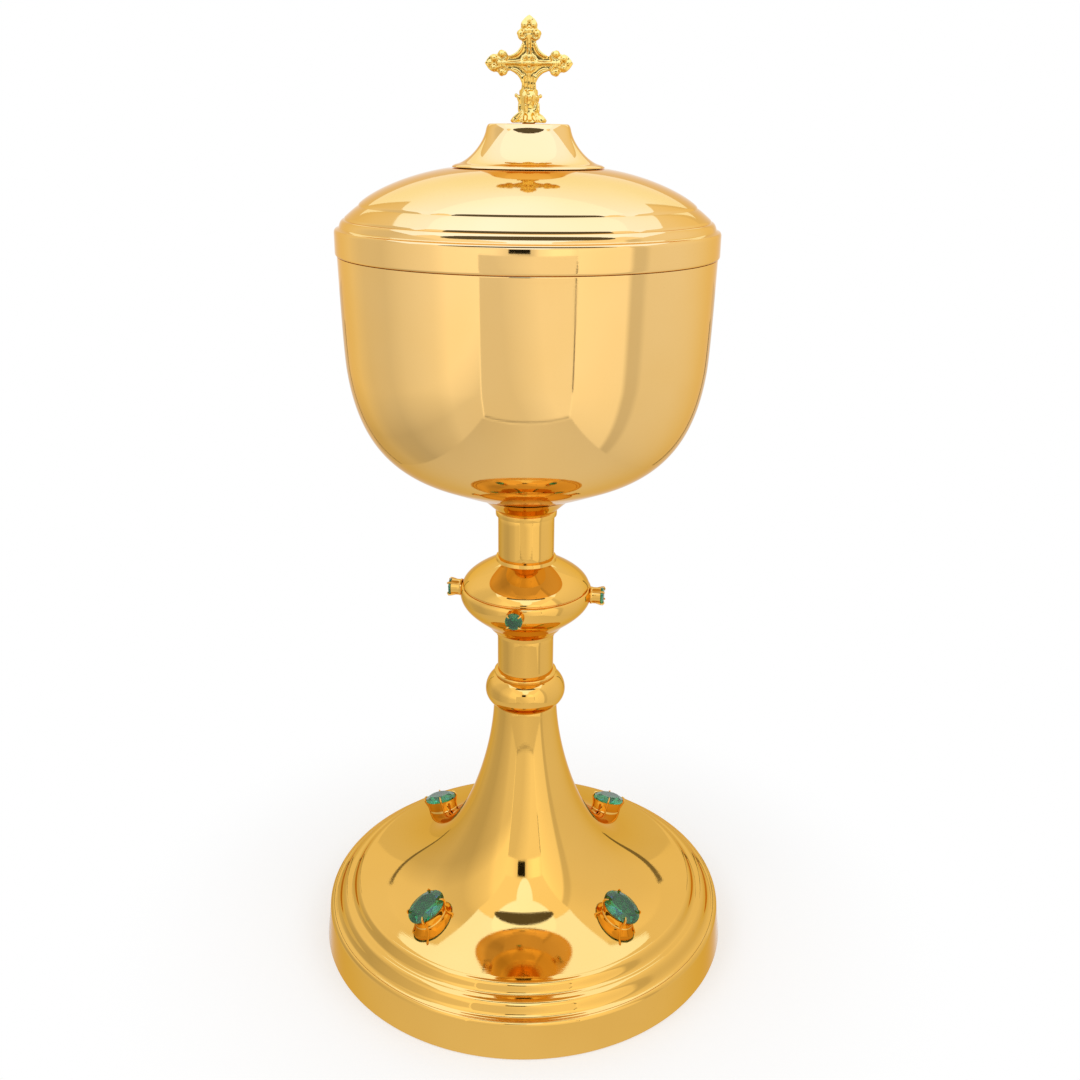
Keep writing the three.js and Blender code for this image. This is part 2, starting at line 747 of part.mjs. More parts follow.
addPiece('foot_band', footBand(), gold());
addPiece('foot_shell', footShell(), gold());
addPiece('stem_ring', stemRing(), gold());
addPiece('lower_tube', tube(lowerTubeRadius, stemRingTop, knopBottom), gold());
addPiece('knop_lower', knopLower(), gold());
addPiece('knop_upper', knopUpper(), gold());
addPiece('upper_tube', tube(upperTubeRadius, knopTop, collarBottom), gold());
addPiece('bowl_collar', bowlCollar(), gold());
addPiece('bowl_stud', bowlStud(), brass());
addPiece('bowl', bowl(), gold());
addPiece('tie_rod', rod(rodRadius, rodBottom, rodTop), brass());
addPiece('tie_washer', washer(washerRadius, rodRadius, nutTop, washerTop), brass());
addPiece('tie_nut', hexNut(nutRadius, rodRadius, nutTop - nutHeight, nutTop), brass());
footSettings();
knopSettings();

addPiece('lid_shell', lidShell(), gold());
addPiece('lid_flange', lidFlange(), gold());
addPiece('lid_boss', lidBoss(), gold());
addPiece('cross', cross(), gold());
addPiece('cross_washer', washer(pegWasherRadius, pegRadius, crossNutTop, crossWasherTop), brass());
addPiece('cross_nut', hexNut(pegNutRadius, pegRadius, crossNutTop - pegNutHeight, crossNutTop), brass());

export default object;
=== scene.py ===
# Ciborium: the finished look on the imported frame, with its camera and soft studio.
import math
import bpy
import bmesh
from mathutils import Euler, Matrix, Quaternion, Vector
from mathutils.geometry import interpolate_bezier


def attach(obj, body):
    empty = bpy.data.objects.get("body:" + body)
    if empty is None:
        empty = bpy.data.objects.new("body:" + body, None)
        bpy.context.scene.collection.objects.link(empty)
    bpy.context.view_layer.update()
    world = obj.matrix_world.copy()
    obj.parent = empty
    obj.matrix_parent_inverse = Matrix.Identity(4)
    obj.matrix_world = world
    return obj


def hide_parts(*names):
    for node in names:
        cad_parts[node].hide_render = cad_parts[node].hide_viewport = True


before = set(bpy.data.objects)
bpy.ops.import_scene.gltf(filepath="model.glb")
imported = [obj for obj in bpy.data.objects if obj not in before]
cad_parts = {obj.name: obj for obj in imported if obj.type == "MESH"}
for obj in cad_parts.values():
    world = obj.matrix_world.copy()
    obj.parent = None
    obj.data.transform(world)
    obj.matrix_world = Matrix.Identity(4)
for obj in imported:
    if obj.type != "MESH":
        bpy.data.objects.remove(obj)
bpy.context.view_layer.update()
mm = 0.001
fullTurn = 2 * math.pi
white = (1, 1, 1, 1)
print("frame loaded:", len(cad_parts), "nodes")


# Shader maths: a Wire is one socket, and an expression on wires adds Math nodes
class Wire:
    def __init__(self, tree, socket):
        self.tree = tree
        self.socket = socket

    def maths(self, operation, *others):
        return self.tree.make("ShaderNodeMath", {"operation": operation}, self, *others)

    def __add__(self, other): return self.maths("ADD", other)
    def __radd__(self, other): return self.maths("ADD", other)
    def __sub__(self, other): return self.maths("SUBTRACT", other)
    def __rsub__(self, other): return self.tree.make("ShaderNodeMath", {"operation": "SUBTRACT"}, other, self)
    def __mul__(self, other): return self.maths("MULTIPLY", other)
    def __rmul__(self, other): return self.maths("MULTIPLY", other)
    def __truediv__(self, other): return self.maths("DIVIDE", other)
    def __pow__(self, other): return self.maths("POWER", other)

    def step(self, low, high):  # soft step from 0 at low to 1 at high
        settings = {"interpolation_type": "SMOOTHSTEP"}
        return self.tree.make("ShaderNodeMapRange", settings, self, low, high, 0.0, 1.0)

    def along(self, stops):  # levels at places along this value, in order, with straight slopes between
        first, last = stops[0][0], stops[-1][0]
        shares = [((place - first) / (last - first), level) for place, level in stops]
        return self.tree.make("ShaderNodeValToRGB", {"stops": shares}, (self - first) / (last - first))


class Shader:
    def __init__(self, owner):
        owner.use_nodes = True
        self.nodes = owner.node_tree.nodes
        self.links = owner.node_tree.links
        self.nodes.clear()

    def make(self, kind, settings=None, *inputs, out=0, **named):
        node = self.nodes.new(kind)
        for key, value in (settings or {}).items():
            if key == "stops":
                for index, (place, color) in enumerate(value):
                    stop = node.color_ramp.elements[index] if index < 2 else node.color_ramp.elements.new(place)
                    stop.position = place
                    stop.color = color if isinstance(color, tuple) else (color, color, color, 1)
            else:
                setattr(node, key, value)
        for index, value in list(enumerate(inputs)) + list(named.items()):
            socket = node.inputs[index if isinstance(index, int) else index.replace("_", " ")]
            if isinstance(value, Wire):
                self.links.new(value.socket, socket)
            elif value is not None:
                socket.default_value = value
        return Wire(self, node.outputs[out]) if node.outputs else None

    def mix(self, share, first, second):  # colours
        node = self.make("ShaderNodeMix", {"data_type": "RGBA"}, share, out=2).socket.node
        for socket, value in ((node.inputs[6], first), (node.inputs[7], second)):
            if isinstance(value, Wire):
                self.links.new(value.socket, socket)
            else:
                socket.default_value = value
        return Wire(self, node.outputs[2])

    def noise(self, place, scale, detail=3.0, roughness=0.5):
        return self.make("ShaderNodeTexNoise", {}, Vector=place, Scale=scale, Detail=detail, Roughness=roughness)

    def parts(self, vector):
        node = self.make("ShaderNodeSeparateXYZ", {}, vector).socket.node
        return [Wire(self, socket) for socket in node.outputs]

    def light(self, strength, color=white):
        return self.make("ShaderNodeEmission", {}, Color=color, Strength=strength)

    def end(self, shader):
        self.make("ShaderNodeOutputMaterial", {}, shader)


def newMaterial(name):
    material = bpy.data.materials.new(name)
    return material, Shader(material)


# Spun gold sheet, polished and gilt: fine turning lines round the axis, faint waves left by the
# spinning tool, soft smudges, painted shade in a deeper, warmer tone where the metal folds in, and a paler tone on
# outward edges
# The deep colour serves both the random clouds and the painted shade in the folds; the casting gets more of that
# painted shade
goldLook = {
    "color": (0.83, 0.54, 0.205, 1), "deep": (0.78, 0.46, 0.12, 1), "paleEdge": (0.85, 0.59, 0.25, 1),
    "rim": (0.88, 0.66, 0.38, 1), "roughness": 0.035, "smudge": 0.04, "turning": 0.03, "waves": 0.10,
    "cloudScale": 18.0, "smudgeScale": 55.0, "lineScale": 5200.0, "grainScale": 900.0, "waveScale": 26.0,
    "clouds": (0.3, 0.7), "smudges": (0.45, 0.75), "folds": (0.42, 0.5), "bulges": (0.53, 0.62),  # from none to full
    "cloudShare": 0.35, "foldShadeShare": 0.35, "castFoldShade": 0.5, "bulgeShare": 0.5, "foldRough": 0.05, "grainRough": 0.12,
    "bump": 0.35, "relief": 0.0002,
}
warmLook = {
    **goldLook, "color": (0.83, 0.485, 0.11, 1), "deep": (0.75, 0.405, 0.07, 1), "paleEdge": (0.85, 0.53, 0.16, 1),
}


def goldMaterial(name, look, cast=0.0):
    material, tree = newMaterial(name)
    place = tree.make("ShaderNodeTexCoord", out=3)
    x, y, z = tree.parts(place)
    radius = (x * x + y * y) ** 0.5
    cloud = tree.noise(place, look["cloudScale"], 3.0)
    smudge = tree.noise(place, look["smudgeScale"], 4.0, 0.6).step(*look["smudges"])
    edge = tree.make("ShaderNodeNewGeometry", out=7)  # how far the surface bends in or out
    # painted shade: this mask marks where the surface bends in
    fold = 1 - edge.step(*look["folds"])
    # a paler tone on the outward edges, set by how far the surface bends out
    bulge = edge.step(*look["bulges"])
    tone = tree.mix(cloud.step(*look["clouds"]) * look["cloudShare"], look["color"], look["deep"])
    # painted shade in the folds, stronger on the casting
    tone = tree.mix(fold * (look["foldShadeShare"] + look["castFoldShade"] * cast), tone, look["deep"])
    tone = tree.mix(bulge * look["bulgeShare"], tone, look["paleEdge"])
    lines = tree.make("ShaderNodeTexNoise", {"noise_dimensions": "2D"},
                      Vector=tree.make("ShaderNodeCombineXYZ", {}, radius, z), Scale=look["lineScale"],
                      Detail=2.0)
    grain = tree.noise(place, look["grainScale"], 4.0, 0.65)
    waves = tree.noise(place, look["waveScale"], 1.0)
    height = lines * look["turning"] * (1 - cast) + waves * look["waves"] + grain * cast
    bump = tree.make("ShaderNodeBump", {}, Strength=look["bump"], Distance=look["relief"], Height=height)
    rough = look["roughness"] + smudge * look["smudge"]
    rough = rough + fold * look["foldRough"] + grain * look["grainRough"] * cast
    shader = tree.make("ShaderNodeBsdfPrincipled", {}, Base_Color=tone, Metallic=1.0, Roughness=rough,
                       Normal=bump, Specular_Tint=look["rim"])
    tree.end(shader)
    return material


# Machined brass for the fastenings inside: duller, with tool marks and a brown film
brassLook = {"color": (0.72, 0.47, 0.17, 1), "film": (0.36, 0.21, 0.08, 1), "roughness": 0.28, "filmScale": 140.0,
             "markScale": 420.0, "markStretch": (1.0, 1.0, 14.0), "bump": 0.4, "relief": 0.0001,
             "films": (0.42, 0.72), "filmShare": 0.7, "filmRough": 0.25}


def brassMaterial(name, look):
    material, tree = newMaterial(name)
    place = tree.make("ShaderNodeTexCoord", out=3)
    film = tree.noise(place, look["filmScale"], 5.0, 0.6)
    stretched = tree.make("ShaderNodeVectorMath", {"operation": "MULTIPLY"}, place, look["markStretch"])
    marks = tree.noise(stretched, look["markScale"], 2.0)
    tone = tree.mix(film.step(*look["films"]) * look["filmShare"], look["color"], look["film"])
    bump = tree.make("ShaderNodeBump", {}, Strength=look["bump"], Distance=look["relief"], Height=marks)
    shader = tree.make("ShaderNodeBsdfPrincipled", {}, Base_Color=tone, Metallic=1.0, Normal=bump,
                       Roughness=look["roughness"] + film * look["filmRough"])
    tree.end(shader)
    return material


# Green paste stones: clear glass with a little veil of colour inside and a very slight wear on top
stoneLook = {"color": (0.05, 0.46, 0.17, 1), "veil": (0.015, 0.26, 0.09, 1), "ior": 1.65, "clear": 0.88,
             "veilScale": 260.0, "wearScale": 1500.0, "bump": 0.08, "relief": 0.00005,
             "veils": (0.35, 0.7), "roughness": 0.01, "wearRough": 0.03}


def stoneMaterial(name, look):
    material, tree = newMaterial(name)
    place = tree.make("ShaderNodeTexCoord", out=3)
    veil = tree.noise(place, look["veilScale"], 3.0)
    wear = tree.noise(place, look["wearScale"], 2.0)
    tone = tree.mix(veil.step(*look["veils"]), look["color"], look["veil"])
    rough = look["roughness"] + wear * look["wearRough"]
    bump = tree.make("ShaderNodeBump", {}, Strength=look["bump"], Distance=look["relief"], Height=wear)
    shader = tree.make("ShaderNodeBsdfPrincipled", {}, Base_Color=tone, Roughness=rough,
                       IOR=look["ior"], Transmission_Weight=look["clear"], Normal=bump)
    tree.end(shader)
    return material


# The casting's deep colour is far darker: painted shade in its pits and folds
castLook = {**goldLook, "color": (0.88, 0.58, 0.14, 1), "deep": (0.55, 0.30, 0.05, 1), "paleEdge": (0.92, 0.65, 0.2, 1),
            "rim": (0.85, 0.6, 0.26, 1), "roughness": 0.08, "smudge": 0.05, "waves": 0.0}
polishedGold = goldMaterial("polishedGold", goldLook)
warmGold = goldMaterial("warmGold", warmLook)
castGold = goldMaterial("castGold", castLook, cast=0.5)
plainBrass = brassMaterial("plainBrass", brassLook)
greenStone = stoneMaterial("greenStone", stoneLook)
print("materials made")


# A curve of (radius, height) points; each pull is a share of the way across and up between the ends
def sweep(start, end, pulls, steps):
    def at(across, up):
        return Vector((start[0] + (end[0] - start[0]) * across, start[1] + (end[1] - start[1]) * up, 0))
    curve = interpolate_bezier((*start, 0), at(*pulls[:2]), at(*pulls[2:]), (*end, 0), steps + 1)
    return [(point.x, point.y) for point in curve]


# Turns an outline of (radius, height) points in millimetres round the Z axis
def spin(outline, steps, closed=True):
    mesh = bmesh.new()
    points = [mesh.verts.new((radius * mm, 0, height * mm)) for radius, height in outline]
    for pair in zip(points, points[1:] + points[:1] if closed else points[1:]):
        mesh.edges.new(pair)
    bmesh.ops.spin(mesh, geom=mesh.verts[:] + mesh.edges[:], cent=(0, 0, 0), axis=(0, 0, 1), dvec=(0, 0, 0),
                   angle=fullTurn, steps=steps, use_merge=True, use_normal_flip=False, use_duplicate=False)
    bmesh.ops.remove_doubles(mesh, verts=mesh.verts, dist=1e-6)
    bmesh.ops.delete(mesh, geom=[edge for edge in mesh.edges if not edge.link_faces], context="EDGES")
    bmesh.ops.recalc_face_normals(mesh, faces=mesh.faces)
    return mesh


# Softens every edge sharper than the given angle
def soften(mesh, width, angle=32, segments=2):
    sharp = [edge for edge in mesh.edges if len(edge.link_faces) == 2
             and edge.calc_face_angle() > math.radians(angle)]
    bmesh.ops.bevel(mesh, geom=sharp, offset=width * mm, offset_type="OFFSET", segments=segments,
                    profile=0.5, affect="EDGES", clamp_overlap=True, material=-1)
    return mesh


def cylinder(mesh, sides, radius, depth, matrix):
    bmesh.ops.create_cone(mesh, cap_ends=True, segments=sides, radius1=radius * mm, radius2=radius * mm,
                          depth=depth * mm, matrix=matrix)


# Cuts away what lies beyond a plane and closes the cut
def sawn(mesh, point, normal, near):
    cut = bmesh.ops.bisect_plane(mesh, geom=mesh.verts[:] + mesh.edges[:] + mesh.faces[:], dist=near,
                                 plane_co=point, plane_no=normal, clear_outer=True)
    rim = [item for item in cut["geom_cut"] if isinstance(item, bmesh.types.BMEdge)]
    if rim:
        bmesh.ops.holes_fill(mesh, edges=rim, sides=0)


# A spun sheet: the open outline is the outer face, and the wall grows away from it
def sheet(outline, steps, wall, rises, edge):
    mesh = spin(outline, steps, closed=False)
    lift = sum(face.normal.z * face.calc_area() for face in mesh.faces)
    if (lift > 0) != rises:
        bmesh.ops.reverse_faces(mesh, faces=mesh.faces)
    bmesh.ops.solidify(mesh, geom=mesh.faces[:], thickness=wall * mm)
    return soften(mesh, edge, 60)


def linked(name, data):
    item = bpy.data.objects.new(name, data)
    bpy.context.scene.collection.objects.link(item)
    return item


# Puts a working mesh into the scene as an object
def placed(name, mesh, material=None):
    data = bpy.data.meshes.new(name)
    mesh.to_mesh(data)
    mesh.free()
    if material:
        data.materials.append(material)
    return linked(name, data)


def finish(name, mesh, body, nodes, material, angle=30):
    piece = placed(name, mesh, material)
    piece.data.shade_smooth()
    piece.data.set_sharp_from_angle(angle=math.radians(angle))
    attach(piece, body)
    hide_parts(*nodes)
    return piece


def goldPiece(name, mesh, body, *nodes, material=polishedGold, angle=30):
    return finish(name, mesh, body, nodes, material, angle)


def brassPiece(name, mesh, body, *nodes):
    return finish(name, mesh, body, nodes, plainBrass, 30)


wide = 192    # steps round the foot, the bowl and the lid
narrow = 128  # steps round the stem

# Foot band: the rim ring on the table, with a rounded lip above its sloping face
footBand = {"radius": 79, "topRadius": 77.5, "height": 12.6, "lip": 1.4, "base": 6.8, "wall": 1.5, "ledge": 3,
            "shellEdge": 76, "gap": 0.05, "sheet": 1.2, "edge": 0.1, "lipPulls": (0, 0.5, 0.3, 1)}


def makeFootBand(d):
    top = d["height"] + d["lip"]
    seat = top - d["sheet"]
    inside = d["shellEdge"] + d["gap"]
    outline = [(d["radius"] - d["base"], 0), (d["radius"] - 0.25, 0), (d["radius"] - 0.03, 0.25)]
    outline += sweep((d["topRadius"] + 0.06, d["height"] - 0.5), (inside, top), d["lipPulls"], 10)
    outline += [
        (inside, seat), (d["shellEdge"] - d["ledge"], seat),
        (d["shellEdge"] - d["ledge"], seat - d["wall"]), (d["shellEdge"], seat - d["wall"]),
        (d["radius"] - d["wall"], d["wall"]), (d["radius"] - d["base"], d["wall"]),
    ]
    return soften(spin(outline, wide), d["edge"], 24)


goldPiece("footBand", makeFootBand(footBand), "stand", "foot_band", material=warmGold)

# Foot shell: two soft rolls, the flared field and the trumpet, spun from one sheet
footShell = {"edge": (76, 14), "outerRoll": (69.5, 18.2), "innerRoll": (64.4, 21.7), "flare": (21.7, 54.5),
             "top": (11.9, 97.4), "wall": 1.2, "bore": 3.3, "outerPulls": (0.62, 0, 0.25, 1),
             "innerPulls": (0.6, 0.05, 0.25, 1), "fieldPulls": (0.338, 0.07, 0.737, 0.212),
             "trumpetPulls": (0.5, 0.265, 0.959, 0.663)}


def makeFootShell(d):
    outline = sweep(d["edge"], d["outerRoll"], d["outerPulls"], 28)
    outline += sweep(d["outerRoll"], d["innerRoll"], d["innerPulls"], 28)[1:]
    outline += sweep(d["innerRoll"], d["flare"], d["fieldPulls"], 36)[1:]
    outline += sweep(d["flare"], d["top"], d["trumpetPulls"], 30)[1:] + [(d["bore"], d["top"][1])]
    return sheet(outline, wide, d["wall"], True, 0.06)


goldPiece("footShell", makeFootShell(footShell), "stand", "foot_shell", material=warmGold)
print("foot made")

# Stem ring: turned bulb with a lip below it, and a fine ridge above a groove where the tube goes in
stemRing = {"low": 97.4, "foot": 11.9, "lip": (12.4, 97.9), "widest": (15, 102.9), "shoulder": (11.5, 109.3),
            "ridge": 11.75, "groove": 11.1, "neck": 10.8, "top": 111.1, "bore": 3.3,
            "rise": (0.63, 0.25, 1, 0.615), "fall": (0, 0.413, 0.381, 0.794)}


def makeStemRing(d):
    outline = [(d["bore"], d["low"]), (d["foot"], d["low"])]
    outline += sweep(d["lip"], d["widest"], d["rise"], 14) + sweep(d["widest"], d["shoulder"], d["fall"], 20)[1:]
    outline += [(d["groove"], d["shoulder"][1] + 0.12), (d["groove"], d["shoulder"][1] + 0.35)]
    outline += [(d["ridge"] - 0.12, d["top"] - 1.2), (d["ridge"], d["top"] - 0.85), (d["ridge"] - 0.15, d["top"] - 0.4)]
    outline += [(d["neck"], d["top"]), (d["bore"], d["top"])]
    return soften(spin(outline, narrow), 0.1, 40)


def makeTube(d):
    inside = d["radius"] - d["wall"]
    outline = [(inside, d["low"]), (d["radius"], d["low"])]
    outline += [(d["radius"], d["low"] + (d["high"] - d["low"]) * share / 8) for share in range(1, 8)]
    outline += [(d["radius"], d["high"]), (inside, d["high"])]
    return soften(spin(outline, narrow), 0.12)


lowerTube = {"radius": 10.4, "low": 111.1, "high": 125.8, "wall": 1.5}
upperTube = {"radius": 10.15, "low": 156.4, "high": 172.3, "wall": 1.5}
goldPiece("stemRing", makeStemRing(stemRing), "stand", "stem_ring", material=warmGold)
goldPiece("lowerTube", makeTube(lowerTube), "stand", "lower_tube", material=warmGold)
goldPiece("upperTube", makeTube(upperTube), "stand", "upper_tube", material=warmGold)

# Knop: two hollow halves that meet in a fine seam, each with a turned collar round its tube
knop = {"radius": 24.1, "seamRadius": 23.2, "bottom": 125.8, "seam": 145.2, "top": 156.4, "collar": 10.9,
        "collarHeight": 1.5, "ledge": 0.4, "band": 2.6, "seamBand": 0.4, "wall": 1.4, "plate": 2, "bore": 3.3,
        "rise": (0.395, 0.379, 1, 0.562), "fall": (0.1, 0.366, 0.473, 0.646), "groove": 0.5}


def makeKnopLower(d):
    root = (d["collar"] + d["ledge"], d["bottom"] + d["collarHeight"])
    face = sweep(root, (d["radius"], d["seam"] - d["band"]), d["rise"], 28)
    inside = sweep((root[0] + 1.6, root[1] + 1.1), (d["radius"] - d["wall"], d["seam"] - d["band"]), d["rise"], 14)
    outline = [(d["bore"], d["bottom"]), (d["collar"], d["bottom"]), (d["collar"], root[1] - 0.15)] + face
    outline += sweep(face[-1], (d["seamRadius"], d["seam"] - 0.22), (0, 0.6, 0.5, 0.95), 8)[1:]
    outline += [(d["seamRadius"] - d["groove"], d["seam"] - 0.2), (d["seamRadius"] - d["groove"], d["seam"]),
                (d["radius"] - d["wall"] - 1, d["seam"])]
    outline += inside[::-1] + [(d["bore"], d["bottom"] + d["plate"])]
    return soften(spin(outline, narrow), 0.1, 30)


def makeKnopUpper(d):
    root = (d["collar"] + d["ledge"], d["top"] - d["collarHeight"])
    face = sweep((d["seamRadius"], d["seam"] + d["seamBand"]), root, d["fall"], 26)
    innerSeam = (d["seamRadius"] - d["wall"], d["seam"] + d["seamBand"])
    inside = sweep(innerSeam, (root[0] + 1.4, root[1] - 1.2), d["fall"], 14)
    outline = [(d["seamRadius"] - d["wall"], d["seam"]), (d["seamRadius"] - d["groove"], d["seam"]),
               (d["seamRadius"] - d["groove"], d["seam"] + 0.2)] + face
    outline += [(d["collar"], root[1] + 0.15), (d["collar"], d["top"]), (d["bore"], d["top"]),
                (d["bore"], d["top"] - d["plate"])]
    outline += inside[::-1]
    return soften(spin(outline, narrow), 0.1, 30)


goldPiece("knopLower", makeKnopLower(knop), "stand", "knop_lower", material=warmGold)
goldPiece("knopUpper", makeKnopUpper(knop), "stand", "knop_upper", material=warmGold)
print("stem and knop made")

# Bowl: a spun cup on a flared collar, with the stud under its floor
bowlCup = {"floor": 178, "turn": (36.2, 188), "side": (61.1, 227), "mouth": (62.4, 262.9), "wall": 1.2,
           "floorPulls": (0.387, 0, 0.691, 0.5), "turnPulls": (0.534, 0.141, 0.904, 0.41),
           "sidePulls": (0.462, 0.195, 0.692, 0.554)}


def makeBowl(d):
    outline = sweep((0, d["floor"]), d["turn"], d["floorPulls"], 18)
    outline += sweep(d["turn"], d["side"], d["turnPulls"], 34)[1:]
    outline += sweep(d["side"], d["mouth"], d["sidePulls"], 16)[1:]
    outline.insert(-1, (d["mouth"][0] - 0.01, d["mouth"][1] - 0.35))
    return sheet(outline, wide, d["wall"], False, 0.12)


goldPiece("bowlCup", makeBowl(bowlCup), "stand", "bowl")

bowlCollar = {"bottom": 172.3, "lip": 2, "lipRadius": 11, "edge": (18.2, 180.46), "bore": 7.8, "lipEdge": 0.3,
              "pulls": (0.253, 0.244, 0.52, 0.642), "top": (13, 178.6), "inner": 177.9}


def makeCollar(d):
    lipTop = (d["lipRadius"] - d["lipEdge"], d["bottom"] + d["lip"])
    outline = [(d["bore"], d["bottom"]), (d["lipRadius"], d["bottom"]), (d["lipRadius"], lipTop[1] - d["lipEdge"])]
    outline += sweep(lipTop, d["edge"], d["pulls"], 20) + [d["top"], (d["bore"], d["inner"])]
    return soften(spin(outline, narrow), 0.15, 40)


bowlStud = {"low": 168.7, "top": 177.7, "neck": 5.2, "head": 7.5, "flange": 1.6, "bore": 3.3}


def makeStud(d):
    shoulder = d["top"] - d["flange"]
    outline = [(d["bore"], d["low"]), (d["neck"], d["low"]), (d["neck"], shoulder), (d["head"], shoulder),
               (d["head"], d["top"]), (0, d["top"]), (0, shoulder), (d["bore"], shoulder)]
    return soften(spin(outline, 64), 0.2)


goldPiece("bowlCollar", makeCollar(bowlCollar), "stand", "bowl_collar", material=warmGold)
brassPiece("bowlStud", makeStud(bowlStud), "stand", "bowl_stud")
print("bowl made")

# Fastenings: a threaded rod, washers with rounded rims and chamfered hexagon nuts
tieRod = {"radius": 3, "low": 81, "high": 175.8, "pitch": 1, "depth": 0.45, "threadLow": 81.6, "threadTurns": 22}
crossPeg = {"radius": 2, "low": 280.8, "pitch": 0.8, "depth": 0.35, "threadLow": 281.2, "threadTurns": 10}
tieWasher = {"radius": 8, "hole": 3.3, "low": 95, "high": 96.2}
tieNut = {"radius": 5.8, "hole": 3.3, "low": 90, "high": 95}
crossWasher = {"radius": 6, "hole": 2.3, "low": 288, "high": 289.2}
crossNut = {"radius": 4.4, "hole": 2.3, "low": 284.8, "high": 288}
chamfer = {"cuts": 24, "slope": 1.7, "reach": 0.9}  # slope: rise of the cut's normal against its way out


def addThread(mesh, d):
    root, crest = d["radius"] - d["depth"], d["radius"]
    steps = 32 * d["threadTurns"]
    corners = [mesh.verts.new((r * mm, 0, (d["threadLow"] + rise * d["pitch"]) * mm))
               for r, rise in ((root - 0.2, 0), (crest, 0.42), (crest, 0.54), (root - 0.2, 0.96))]
    ridge = mesh.faces.new(corners)
    bmesh.ops.spin(mesh, geom=[ridge], cent=(0, 0, 0), axis=(0, 0, 1), use_duplicate=False, use_merge=False,
                   dvec=(0, 0, d["pitch"] * mm / 32), angle=fullTurn * d["threadTurns"], steps=steps)


def makeRod(d):
    root = d["radius"] - d["depth"]
    threadTop = d["threadLow"] + (d["threadTurns"] + 1) * d["pitch"]
    outline = [(0, d["low"]), (root, d["low"]), (root, threadTop), (d["radius"], threadTop + 0.6),
               (d["radius"], d["high"]), (0, d["high"])]
    mesh = soften(spin(outline, 48), 0.25)
    addThread(mesh, d)
    bmesh.ops.recalc_face_normals(mesh, faces=mesh.faces)
    return mesh


def makeWasher(d):
    outline = [(d["hole"], d["low"]), (d["radius"], d["low"]), (d["radius"], d["high"]), (d["hole"], d["high"])]
    return soften(spin(outline, 64), 0.2)


# A hexagon bar drilled through, its corners turned off at 30 degrees like a real nut's
def makeNut(d):
    mesh = bmesh.new()
    middle = Matrix.Translation((0, 0, (d["low"] + d["high"]) / 2 * mm))
    height = d["high"] - d["low"]
    cylinder(mesh, 6, d["radius"], height, middle)
    for index in range(chamfer["cuts"]):
        turn = index * fullTurn / chamfer["cuts"]
        out = Vector((math.cos(turn), math.sin(turn), 0))
        for side, level in ((1, d["high"]), (-1, d["low"])):
            slope = (out + Vector((0, 0, side * chamfer["slope"]))).normalized()
            sawn(mesh, out * d["radius"] * chamfer["reach"] * mm + Vector((0, 0, level * mm)), slope, 1e-7)
    drill = bmesh.new()
    cylinder(drill, 32, d["hole"], height + 2, middle)
    return modified(mesh, "BOOLEAN", drill, operation="DIFFERENCE", solver="EXACT")


# Applies one modifier to a mesh and gives the result back
def modified(mesh, kind, other=None, **settings):
    holder = placed("working", mesh)
    modifier = holder.modifiers.new(kind.lower(), kind)
    for key, value in settings.items():
        setattr(modifier, key, value)
    tool = None
    if other:
        tool = placed("tool", other)
        modifier.object = tool
    bpy.context.view_layer.update()
    shaped = bmesh.new()
    shaped.from_mesh(holder.evaluated_get(bpy.context.evaluated_depsgraph_get()).to_mesh())
    for used in (holder, tool):
        if used:
            bpy.data.objects.remove(used)
    return shaped


brassPiece("tieRod", makeRod(tieRod), "stand", "tie_rod")
brassPiece("tieWasher", makeWasher(tieWasher), "stand", "tie_washer")
brassPiece("tieNut", makeNut(tieNut), "stand", "tie_nut")
brassPiece("crossWasher", makeWasher(crossWasher), "lid", "cross_washer")
brassPiece("crossNut", makeNut(crossNut), "lid", "cross_nut")
print("fastenings made")

# Lid: band, narrow step, rolled shoulder and dome, with a flange inside
lidShell = {"bottom": 262.98, "radius": 63, "edge": 0.9, "bandTop": 271.3, "round": 1.2, "step": (61.4, 271.9),
            "crease": (59.6, 274.3), "shoulder": (54.9, 278.4), "riser": (0.3, 0.65), "crown": (25.6, 290),
            "top": 290.2, "bore": 2.3, "wall": 1, "riserPulls": (0.3, 0.35, 0.65, 0.7),
            "stepPulls": (0.18, 0.5, 0.4, 0.95), "rollPulls": (0.2, 0.22, 0.667, 0.75),
            "domePulls": (0.11, 0.28, 0.498, 0.806)}


def makeLid(d):
    outline = sweep((d["radius"] - d["edge"], d["bottom"]), (d["radius"], d["bottom"] + d["edge"]), (0.5, 0, 1, 0.5), 8)
    outline += [(d["radius"], d["bottom"] + d["edge"] + share) for share in (1.5, 3, 4.5)]
    outline += sweep((d["radius"], d["bandTop"] - d["round"]), (d["radius"] - 0.85, d["bandTop"] + 0.1),
                     (0, 0.6, 0.4, 1), 6)
    outline += sweep(d["step"], d["crease"], d["stepPulls"], 10)
    curves = ((d["crease"], d["shoulder"], d["rollPulls"], 12), (d["shoulder"], d["crown"], d["domePulls"], 30))
    for low, high, pulls, steps in curves:
        rise = (low[0] - d["riser"][0], low[1] + d["riser"][1])  # a fine upright line where each curve springs
        outline += sweep(low, rise, d["riserPulls"], 4)[1:] + sweep(rise, high, pulls, steps)[1:]
    outline += [(18, d["top"]), (10, d["top"]), (d["bore"], d["top"])]
    return sheet(outline, wide, d["wall"], True, 0.12)


goldPiece("lidShell", makeLid(lidShell), "lid", "lid_shell", angle=24)

lidFlange = {"low": 254.9, "lead": 1, "lower": 60.7, "inner": 59.6, "upper": 61.7, "step": 264.1, "top": 269.7}


def makeFlange(d):
    outline = [(d["inner"], d["low"]), (d["lower"] - 0.5 * d["lead"], d["low"]), (d["lower"], d["low"] + d["lead"]),
               (d["lower"], d["step"]), (d["upper"], d["step"]), (d["upper"], d["top"]), (d["inner"], d["top"])]
    return soften(spin(outline, wide), 0.2)


goldPiece("lidFlange", makeFlange(lidFlange), "lid", "lid_flange")

